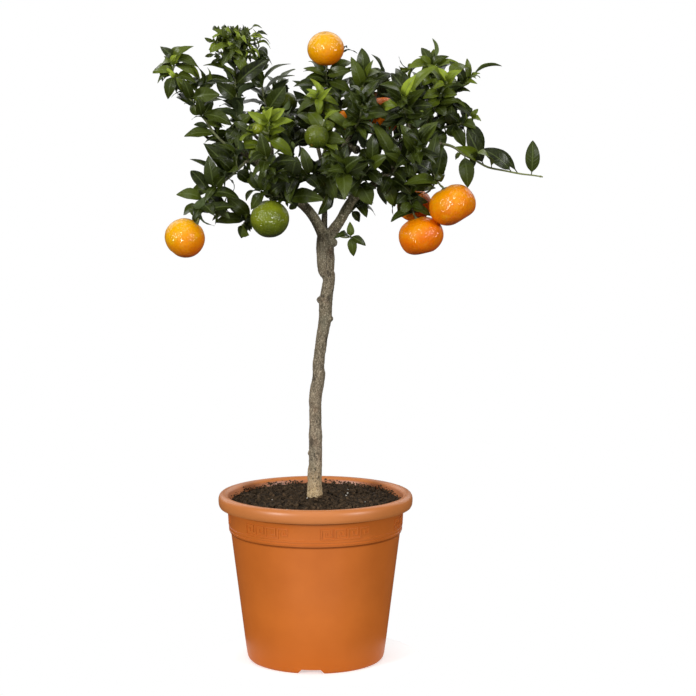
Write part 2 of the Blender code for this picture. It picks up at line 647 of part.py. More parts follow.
def build_pot(parts, cutters, material):
    made = turned("pot", pot_profile(), POT_STEPS, parts)
    tools = [
        notch_cutter(NOTCH_FRONT_ANGLE + i * 2 * math.pi / NOTCH_COUNT, cutters)
        for i in range(NOTCH_COUNT)
    ]
    tools += [drain_cutter((i + 0.5) * 2 * math.pi / DRAIN_COUNT, cutters) for i in range(DRAIN_COUNT)]
    for tool in tools:
        hide_cutter(tool)
        cut_by(made, tool)
    return finish(made, "pot", material)


def soil_profile():
    """Down the outer side, just inside the pot's wall."""
    foot = pot_wall_r(POT_FLOOR_TOP) - POT_WALL
    band = pot_wall_r(BAND_FOOT) - POT_WALL
    wide = BAND_R - POT_WALL
    rise = (SOIL_EDGE_Z - BAND_TOP) / (INNER_RIM[1] - BAND_TOP)
    edge = wide + rise * (INNER_RIM[0] - wide) - SOIL_GAP
    mound = SOIL_MOUND_Z - SOIL_EDGE_Z
    top = [(r, SOIL_EDGE_Z + mound * math.exp(-((r / SOIL_MOUND_SPREAD) ** 2))) for r in SOIL_RINGS]
    floor = POT_FLOOR_TOP + CLEAR_GAP
    return top + [
        (edge, SOIL_EDGE_Z), (wide - SOIL_GAP, BAND_TOP), (band - SOIL_GAP, BAND_FOOT),
        (foot - SOIL_GAP, floor + POT_CORNER), (foot - POT_CORNER - CLEAR_GAP, floor), (0, floor),
    ]


def trunk_hole_cutter(cutters):
    """A straight plug a little wider than the buried trunk."""
    top = POT_HEIGHT + 12
    foot = TRUNK_FOOT_Z - CLEAR_GAP
    radius = (TRUNK[0][2] + SOIL_GAP) / math.cos(math.pi / TRUNK_HOLE_SIDES)
    bpy.ops.mesh.primitive_cylinder_add(
        vertices=TRUNK_HOLE_SIDES, radius=radius * MM, depth=(top - foot) * MM,
        location=world((TRUNK[0][1], 0, (top + foot) / 2)),
    )
    return own(bpy.context.object, "trunk_hole_cutter", cutters)


def build_soil(parts, cutters, material):
    """The potting soil: uneven on top, with a plain hole that the trunk stands in."""
    made = freeze(turned("soil", soil_profile(), POT_STEPS, parts))
    inner, outer = SOIL_CALM_R
    for vertex in made.data.vertices:
        x, y, z = vertex.co / MM
        r = math.hypot(x, y)
        if z > SOIL_EDGE_Z - 1 and r < SOIL_RINGS[-1] + 1:
            calm = min(1.0, max(0.0, (r - inner) / (outer - inner)))
            lump = noise.noise(Vector((x / SOIL_LUMP_SIZE, y / SOIL_LUMP_SIZE, 0.5)))
            vertex.co.z += SOIL_LUMP * lump * calm * MM
    hole = trunk_hole_cutter(cutters)
    hide_cutter(hole)
    cut_by(made, hole)
    return finish(made, "soil", material, 60.0)


def tube(name, route, radii, sides, collection):
    """A bevelled curve along the route, as a mesh with its caps welded."""
    curve = bpy.data.curves.new(name, "CURVE")
    curve.dimensions = "3D"
    curve.bevel_depth = MM
    curve.bevel_resolution = (sides - 4) // 2
    curve.use_fill_caps = True
    spline = curve.splines.new("POLY")
    spline.points.add(len(route) - 1)
    for point, place, radius in zip(spline.points, route, radii):
        point.co = (*world(place), 1.0)
        point.radius = radius
    holder = bpy.data.objects.new(name + "_curve", curve)
    collection.objects.link(holder)
    graph = bpy.context.evaluated_depsgraph_get()
    mesh = bpy.data.meshes.new_from_object(holder.evaluated_get(graph))
    shape = bmesh.new()
    shape.from_mesh(mesh)
    bmesh.ops.remove_doubles(shape, verts=shape.verts, dist=0.00001)
    bmesh.ops.triangulate(shape, faces=shape.faces)
    bmesh.ops.recalc_face_normals(shape, faces=shape.faces)
    shape.to_mesh(mesh)
    shape.free()
    made = bpy.data.objects.new(name, mesh)
    made.matrix_world = holder.matrix_world
    collection.objects.link(made)
    bpy.data.objects.remove(holder)
    bpy.data.curves.remove(curve)
    return made


def knob(name, place, radius, collection):
    bpy.ops.mesh.primitive_ico_sphere_add(subdivisions=1, radius=radius * MM, location=world(place))
    made = own(bpy.context.object, name, collection)
    made.data.transform(made.matrix_world)
    made.matrix_world = Matrix.Identity(4)
    return made


def twig_route(shoot):
    """The woody foot of a leafy stem, ending square to it with a thin gap between the two."""
    stem = Vector(shoot.stem[0])
    away = (Vector(shoot.stem[1]) - stem).normalized()
    foot = stem - away * (CLEAR_GAP + TWIG_END)
    given = [Vector(p) for p in shoot.twig[:-1]]
    return given + [foot, stem - away * CLEAR_GAP]


def build_wood(parts, material):
    """The trunk, its limbs and the woody foot of each leafy stem, as one grown piece."""
    route = [Vector((TRUNK[0][1], 0, TRUNK_FOOT_Z))] + [Vector((x, 0, z)) for z, x, _ in TRUNK]
    radii = [TRUNK_FOOT_R] + [r for _, _, r in TRUNK]
    trunk = tube("trunk", route, radii, TRUNK_SIDES, parts)
    for vertex in trunk.data.vertices:
        place = vertex.co / MM
        if place.z > POT_HEIGHT + 6:
            vertex.co += vertex.normal * BARK_RELIEF * noise.noise(place / BARK_RELIEF_SIZE) * MM
    others = []
    for name, rows in LIMBS.items():
        thick = rows[0][3] > 5
        path = [Vector(row[:3]) for row in rows]
        others.append(tube("limb_" + name, path, [row[3] for row in rows], 8 if thick else 6, parts))
    for shoot in SHOOTS:
        path = twig_route(shoot)
        sizes = [TWIG_R + 0.5] + [TWIG_R] * (len(path) - 2) + [STEM_R]
        others.append(tube("twig_" + shoot.name, path, sizes, 4, parts))
    others += [knob("knob", row[:3], row[3], parts) for row in KNOBS]
    join_by_union(trunk, others, parts)
    return finish(trunk, "trunk_and_limbs", material)


def across(direction, facing):
    """The part of a facing direction that lies square to another direction."""
    out = facing - direction * facing.dot(direction)
    if out.length < 0.05:
        side = Vector((1, 0, 0))
        out = side - direction * side.dot(direction)
    return out.normalized()


# A blade: its widest places along the leaf, then its triangles by point number
STATIONS = ((0.36, 1.0), (0.7, 0.78))
BLADE_FACES = (
    (0, 3, 2), (1, 4, 5), (0, 2, 4), (0, 4, 1), (0, 1, 5), (0, 5, 3),
    (2, 3, 7), (2, 7, 6), (4, 9, 5), (4, 8, 9), (2, 6, 8), (2, 8, 4), (3, 5, 9), (3, 9, 7),
    (6, 7, 10), (8, 10, 9), (6, 10, 8), (7, 9, 10),
)
SHORT_STATIONS = ((0.45, 1.0),)
SHORT_FACES = BLADE_FACES[:6] + ((2, 3, 6), (4, 6, 5), (2, 6, 4), (3, 5, 6))


def blade_mesh(root, tip, width, normal, grow=0.0, skip=0.0):
    """Points and triangles of a closed, arched leaf blade, split alike above and below."""
    short = (tip - root).length < SHORT_LEAF
    stations = SHORT_STATIONS if short else STATIONS
    faces = SHORT_FACES if short else BLADE_FACES
    along = tip - root
    length = along.length
    along.normalize()
    up = across(along, normal)
    side = along.cross(up)
    half = up * (BLADE_THICK / 2 + grow)
    lift = up * BLADE_ARCH * length
    start = root + along * skip
    points = [start + half, start - half]
    for share, spread in stations:
        rib = root + along * (length * share) + lift * (4 * share * (1 - share))
        reach = side * (width / 2 * spread + grow)
        points += [rib - reach + half, rib + reach + half, rib - reach - half, rib + reach - half]
    points.append(tip + along * grow)
    return points, faces


class Space:
    """What already stands in the crown, to test a new leaf against."""

    def __init__(self):
        self.things = []
        self.balls = []

    def add(self, owner, points, faces):
        middle = sum(points, Vector()) / len(points)
        reach = max((p - middle).length for p in points)
        self.things.append((owner, middle, reach, BVHTree.FromPolygons(points, faces)))

    def free(self, points, faces, owner=None):
        """Whether a shape crosses nothing, leaving out what its owner holds."""
        middle = sum(points, Vector()) / len(points)
        reach = max((p - middle).length for p in points)
        tree = None
        for other_owner, other_middle, other_reach, other in self.things:
            if other_owner == owner or (middle - other_middle).length > reach + other_reach:
                continue
            tree = tree or BVHTree.FromPolygons(points, faces)
            if tree.overlap(other):
                return False
        return True

    def fits(self, owner, leaf):
        """A leaf clears everything beyond its foot, and at its foot everything but its own stem."""
        beyond = blade_mesh(*leaf, LEAF_CLEAR, GUARD_START)
        root, tip = leaf[:2]
        along = [root.lerp(tip, share) for share in (0.15, 0.4, 0.7, 1.0)]
        for centre, radius in self.balls:
            if any((point - centre).length < radius for point in along):
                return False
        return self.free(*beyond) and self.free(*blade_mesh(*leaf, FOOT_CLEAR), owner)


def tube_cage(route, radii, sides=6):
    """Points and faces round a route, for the space test."""
    points, faces = [], []
    for i, place in enumerate(route):
        ahead = route[min(i + 1, len(route) - 1)] - route[max(i - 1, 0)]
        first = across(ahead.normalized(), Vector((0.31, 0.87, 0.4)))
        second = ahead.normalized().cross(first)
        for k in range(sides):
            turn = 2 * math.pi * k / sides
            points.append(place + (first * math.cos(turn) + second * math.sin(turn)) * radii[i])
    for i in range(len(route) - 1):
        for k in range(sides):
            j = (k + 1) % sides
            a, b = i * sides, (i + 1) * sides
            faces += [(a + k, a + j, b + j), (a + k, b + j, b + k)]
    return points, faces


def ball_cage(centre, radius):
    """A ball of flat faces round a fruit, for the space test."""
    points, faces = [], []
    rings, sides = 6, 10
    for i in range(rings + 1):
        polar = math.pi * i / rings
        for k in range(sides):
            turn = 2 * math.pi * k / sides
            points.append(
                centre + Vector((math.sin(polar) * math.cos(turn), math.sin(polar) * math.sin(turn),
                                 math.cos(polar))) * radius
            )
    for i in range(rings):
        for k in range(sides):
            j = (k + 1) % sides
            a, b = i * sides, (i + 1) * sides
            faces += [(a + k, b + k, b + j), (a + k, b + j, a + j)]
    return points, faces


def place_on(route, share):
    """The point at a share of a route's length, and the direction there."""
    lengths = [(b - a).length for a, b in zip(route, route[1:])]
    left = share * sum(lengths)
    for a, b, length in zip(route, route[1:], lengths):
        if left <= length:
            return a.lerp(b, left / length), (b - a).normalized()
        left -= length
    return route[-1].copy(), (route[-1] - route[-2]).normalized()


def stem_route(shoot):
    return [Vector(p) for p in shoot.stem]


def stem_radii(route):
    last = len(route) - 1
    return [STEM_R + (STEM_TIP_R - STEM_R) * i / last for i in range(last + 1)]


def stalk_end(fruit):
    """Where a fruit's stalk stops, a thin gap off its skin, and the way it points."""
    out = Vector(fruit.stalk).normalized()
    return Vector(fruit.centre) + out * (fruit.radius * fruit.flat * FRUIT_SHOULDER + CLEAR_GAP), out


def stalk_route(fruit, shoot):
    """The fruit stalk: out of its stem, bending into the fruit's stalk end."""
    start, ahead = place_on(stem_route(shoot), fruit.share)
    end, out = stalk_end(fruit)
    reach = (end - start).length
    if fruit.share == 1.0:
        start = start - ahead * 1.5
    middle = end + out * min(STALK_FOOT, reach * 0.5)
    return [start, middle, end]


def facing(degrees):
    turn = math.radians(degrees)
    return Vector((0, -math.cos(turn), math.sin(turn)))


def against_sky(points):
    """Whether a leaf would cover a gap that the crown shows from the front."""
    for point in points:
        near = EYE_DISTANCE / (EYE_DISTANCE + point.y)
        x, z = point.x * near, EYE_HEIGHT + (point.z - EYE_HEIGHT) * near
        for gap_x, gap_z, radius in SKY:
            if math.hypot(x - gap_x, z - gap_z) < radius:
                return True
        if point.y < 0:
            for gap_x, gap_z, radius in WINDOWS:
                if math.hypot(x - gap_x, z - gap_z) < radius:
                    return True
    return False


def drawn_leaf(owner, row, route, space):
    """A leaf of known tip, moved a little in depth or turned until it is clear of the rest."""
    share, x, y, z, width, degrees = row
    root, _ = place_on(route, share)
    for depth, turn in NUDGES:
        tip = Vector((x, y + depth, z))
        normal = facing(degrees + turn)
        leaf = (root, tip, width, normal)
        if space.fits(owner, leaf):
            return leaf
    return None


def ruled_leaf(owner, index, route, fill, draw, space):
    """A leaf set by the spiral rule, turned further round the stem until it is clear of the rest."""
    count, start, scale = fill
    share = start + (1.0 - start) * (index + 1) / count
    root, ahead = place_on(route, share)
    first = across(ahead, Vector((0.2, 0.3, 0.93)))
    second = ahead.cross(first)
    length = draw.uniform(*FREE_LEAF) * scale
    width = length * LEAF_SLIMNESS * draw.uniform(0.85, 1.1)
    lean = math.radians(draw.uniform(*LEAF_LEAN) - LEAN_LOST_AT_TIP * share)
    for attempt in range(TRIES):
        turn = index * TURN + attempt * TRY_TURN
        out = first * math.cos(turn) + second * math.sin(turn)
        heading = (ahead * math.cos(lean) + out * math.sin(lean)).normalized()
        heading = (heading + Vector((0, 0, LEAF_LIFT))).normalized()
        size = length * (1.0 - TRY_SHRINK * attempt)
        tip = root + heading * size
        normal = (ahead + Vector((0, -0.25, 0.5)) - heading * 0.4).normalized()
        if tip.z > CROWN_TOP or against_sky((tip, root.lerp(tip, 0.6))):
            continue
        leaf = (root, tip, width, normal)
        if space.fits(owner, leaf):
            return leaf
    return None


def plan_leaves():
    """Every leaf's root, tip, width and facing, by stem: those drawn by hand first."""
    space = Space()
    for rows in LIMBS.values():
        space.add("wood", *tube_cage([Vector(row[:3]) for row in rows], [row[3] + 0.6 for row in rows]))
    space.add("wood", *tube_cage([Vector((x, 0, z)) for z, x, _ in TRUNK], [r + 1 for _, _, r in TRUNK]))
    for fruit in FRUITS:
        space.add(fruit.name, *ball_cage(Vector(fruit.centre), fruit.radius * 1.04))
        space.balls.append((Vector(fruit.centre), fruit.radius + 1.0))
        home = next(shoot for shoot in SHOOTS if shoot.name == fruit.stem)
        space.add(home.name, *tube_cage(stalk_route(fruit, home), [STALK_R] * 3))
    for shoot in SHOOTS:
        path = twig_route(shoot)
        space.add("wood", *tube_cage(path, [TWIG_R] * len(path)))
        path = stem_route(shoot)
        space.add(shoot.name, *tube_cage(path, stem_radii(path)))
    plan = {shoot.name: [] for shoot in SHOOTS}

    def keep(name, leaf):
        if leaf:
            plan[name].append(leaf)
            space.add(name, *blade_mesh(*leaf))

    for shoot in SHOOTS:
        for row in shoot.leaves:
            keep(shoot.name, drawn_leaf(shoot.name, row, stem_route(shoot), space))
    draw = random.Random(SEED)
    for shoot in SHOOTS:
        for index in range(shoot.fill[0]):
            keep(shoot.name, ruled_leaf(shoot.name, index, stem_route(shoot), shoot.fill, draw, space))
    return plan


def build_shoot(shoot, leaves, parts, material):
    """One leafy stem: its green stem, fruit stalks and leaves grown together."""
    route = stem_route(shoot)
    stem = tube("stem", route, stem_radii(route), 4, parts)
    others = []
    for fruit in FRUITS:
        if fruit.stem == shoot.name:
            others.append(tube("stalk", stalk_route(fruit, shoot), [STALK_R] * 3, 4, parts))
    for leaf in leaves:
        points, faces = blade_mesh(*leaf)
        others.append(mesh_object("leaf", points, faces, parts))
    stem.name = "stem_" + shoot.name
    join_by_union(stem, others, parts)
    return finish(stem, "leafy_stem_" + shoot.name, material, 30.0)


def build_fruit(fruit, parts, material):
    """An oblate fruit, dimpled at the stalk and at the far end."""
    small = fruit.radius < SMALL_FRUIT_R
    bpy.ops.mesh.primitive_uv_sphere_add(
        segments=8 if small else 10, ring_count=6 if small else 7, radius=fruit.radius * MM
    )
    made = own(bpy.context.object, fruit.name, parts)
    top = max(v.co.z for v in made.data.vertices)
    for vertex in made.data.vertices:
        vertex.co.z *= fruit.flat
        if abs(vertex.co.z) > top * fruit.flat * 0.999:
            vertex.co.z *= FRUIT_SHOULDER
    made.rotation_mode = "QUATERNION"
    made.rotation_quaternion = Vector((0, 0, 1)).rotation_difference(Vector(fruit.stalk))
    made.location = world(fruit.centre)
    return finish(made, fruit.name, material, 80.0)


def main():
    clear_scene()
    parts = new_collection("potted_mandarin_tree")
    cutters = new_collection("cutters")
    plastic = paint("pot_plastic", (0.52, 0.16, 0.035), 0.42)
    earth = paint("soil", (0.045, 0.028, 0.018), 0.95)
    bark = paint("bark", (0.22, 0.17, 0.11), 0.85)
    leaf = paint("leaf_green", (0.045, 0.085, 0.02), 0.38)
    ripe = paint("mandarin_skin", (0.85, 0.3, 0.01), 0.35)
    unripe = paint("green_skin", (0.14, 0.21, 0.012), 0.4)
    build_pot(parts, cutters, plastic)
    build_soil(parts, cutters, earth)
    build_wood(parts, bark)
    for fruit in FRUITS:
        build_fruit(fruit, parts, ripe if fruit.ripe else unripe)
    plan = plan_leaves()
    for shoot in SHOOTS:
        build_shoot(shoot, plan[shoot.name], parts, leaf)


main()
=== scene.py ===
"""The look of a potted mandarin tree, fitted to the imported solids.

Lengths are in millimetres and become metres where a mesh is made. Places are measured from the pot's
own axis on the floor, with X to the right, Y to the back and Z up, and ORIGIN_SHIFT moves them into
the part's frame. Stems, drawn leaves and the leaf rule are those of the part's source, so the finer
leaves grow where the solids are.
"""
import math
import random
from collections import namedtuple

import bmesh
import bpy
import numpy as np
from mathutils import Matrix, Vector, noise
from mathutils.bvhtree import BVHTree

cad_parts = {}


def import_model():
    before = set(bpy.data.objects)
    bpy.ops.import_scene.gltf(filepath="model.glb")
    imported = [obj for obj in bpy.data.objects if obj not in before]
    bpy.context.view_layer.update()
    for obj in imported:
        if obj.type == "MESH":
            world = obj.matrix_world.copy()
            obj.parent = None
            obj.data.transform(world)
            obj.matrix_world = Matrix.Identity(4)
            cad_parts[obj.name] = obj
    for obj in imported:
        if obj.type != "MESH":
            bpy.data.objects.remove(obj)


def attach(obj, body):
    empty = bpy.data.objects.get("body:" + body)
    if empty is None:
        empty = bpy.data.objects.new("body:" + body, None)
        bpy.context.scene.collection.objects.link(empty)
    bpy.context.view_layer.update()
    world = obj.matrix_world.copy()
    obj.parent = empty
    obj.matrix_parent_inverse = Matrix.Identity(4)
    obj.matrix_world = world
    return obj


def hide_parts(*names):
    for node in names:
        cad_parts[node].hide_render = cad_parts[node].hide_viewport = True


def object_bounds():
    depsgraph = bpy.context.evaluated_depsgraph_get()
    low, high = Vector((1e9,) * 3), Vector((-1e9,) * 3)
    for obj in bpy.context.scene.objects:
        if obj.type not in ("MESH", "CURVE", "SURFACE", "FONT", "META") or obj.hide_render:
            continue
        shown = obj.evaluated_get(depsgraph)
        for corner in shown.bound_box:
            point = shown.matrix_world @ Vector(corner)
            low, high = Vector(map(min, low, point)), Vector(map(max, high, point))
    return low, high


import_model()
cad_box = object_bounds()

MM = 0.001
ORIGIN_SHIFT = Vector((-41.6, -27.0, 0.0))
SEED = 20
CLEAR_GAP = 0.3

# Pot
POT_RIM_R = 120.0
POT_HEIGHT = 208.3
POT_FOOT_R = 84.7
POT_TAPER = 0.125
POT_WALL = 2.6
BAND_TOP = 191.7
BAND_FOOT = 161.0
BAND_R = 107.8
BAND_DRAFT = 0.048
FOOT_RECESS = 6.0
FOOT_RING_R = (80.2, 74.2)
POT_FLOOR_TOP = 9.0
POT_CORNER = 3.0
NOTCH_HEIGHT = 5.8
NOTCH_FOOT_WIDTH = 33.0
NOTCH_TOP_WIDTH = 23.5
NOTCH_COUNT = 3
NOTCH_FRONT_ANGLE = math.radians(-94.0)
DRAIN_HOLE_R = 6.0
DRAIN_RING_R = 48.0
DRAIN_COUNT = 4

# Soil
SOIL_EDGE_Z = 196.6
SOIL_MOUND_Z = 204.9
SOIL_MOUND_SPREAD = 34.0
INNER_RIM = (108.0, 203.8)

# Trunk: height above the floor, place to the right of the pot's axis, and radius
TRUNK_FOOT_Z = 100.0
TRUNK_FOOT_R = 6.5
TRUNK = (
    (194, -1, 9.9), (209, -1, 9.4), (220, -1, 8.7), (233, -1, 9.0), (246, 0, 8.1), (278, 0, 8.4),
    (297, 0, 7.5), (327, 0, 7.8), (351, 4, 8.0), (369, 4, 7.2), (400, 8, 7.2), (424, 12, 7.9),
    (447, 13, 8.2), (474, 17, 7.5), (482, 14, 9.7), (494, 13, 10.9), (517, 12, 10.6), (527, 12, 9.5),
)
# Pruned stubs and swellings on the trunk: place and radius
KNOBS = ((-6, -3, 258, 4.0), (18, -4, 425, 4.4), (6, -4, 448, 4.6), (22, -5, 518, 5.6))

# Limbs: place and radius of each point
LIMBS = {
    "left": (
        (13, 0, 520, 7.9), (4, -4, 539, 6.4), (-6, -8, 555, 6.1), (-20, -12, 569, 5.9),
        (-38, -14, 583, 5.1), (-59, -17, 607, 4.1), (-90, -22, 631, 2.9),
    ),
    "left_back": (
        (-29, -13, 576, 4.3), (-38, 25, 595, 3.7), (-53, 70, 618, 3.1), (-67, 105, 637, 2.6),
    ),
    "middle": (
        (11, 0, 528, 4.1), (12, 22, 562, 3.4), (13, 50, 585, 3.0), (8, 85, 613, 2.7), (2, 115, 636, 2.4),
    ),
    "right": (
        (13, 0, 520, 7.9), (30, -4, 544, 6.4), (46, -8, 571, 5.8), (70, -12, 588, 5.1),
        (99, -10, 615, 4.3), (114, -6, 633, 3.7), (114, 0, 666, 2.9),
    ),
    "upright": (
        (46, -8, 569, 4.5), (41, -10, 586, 4.0), (37, -10, 609, 3.7), (39, -8, 636, 3.5),
        (39, 2, 676, 2.6),
    ),
    "right_back": (
        (83, -12, 601, 3.9), (95, 30, 614, 3.4), (109, 75, 636, 2.9), (117, 112, 657, 2.5),
    ),
}

# Leafy stems
TWIG_R = 2.1
TWIG_END = 3.0
STEM_R = 1.7
STEM_TIP_R = 1.05
STALK_R = 1.3
BLADE_THICK = 0.7
BLADE_ARCH = 0.12
GUARD_START = 6.0
LEAF_CLEAR = 0.9
FOOT_CLEAR = 0.4
SHORT_LEAF = 30.0
# Leaves set by rule: the turn of the spiral, their length, width, lean from the stem and droop
TURN = math.radians(137.5)
FREE_LEAF = (31.0, 42.0)
LEAF_SLIMNESS = 0.42
LEAF_LEAN = (48.0, 68.0)
LEAN_LOST_AT_TIP = 22.0
LEAF_LIFT = 0.12
CROWN_TOP = 783.0
TRIES = 14
TRY_TURN = 0.9
TRY_SHRINK = 0.03
# Drawn leaves: how far the tip may move in depth and the blade turn to come clear
NUDGES = (
    (0, 0), (9, 0), (-9, 0), (0, 25), (0, -25), (16, 20), (-16, 20), (16, -20), (-16, -20), (24, 0),
    (-24, 0),
)

# Each leafy stem is drawn: the route of its woody twig, the route of its green stem, and the leaves that
# stand out. Such a leaf has the share of the stem where it grows, its tip, its width and how far it faces
# up from facing the front (degrees). fill is a count of leaves set by rule, the share of the stem where
# they start, and a factor on their length.
Shoot = namedtuple("Shoot", "name twig stem leaves fill", defaults=((), (0, 0.2, 1.0)))

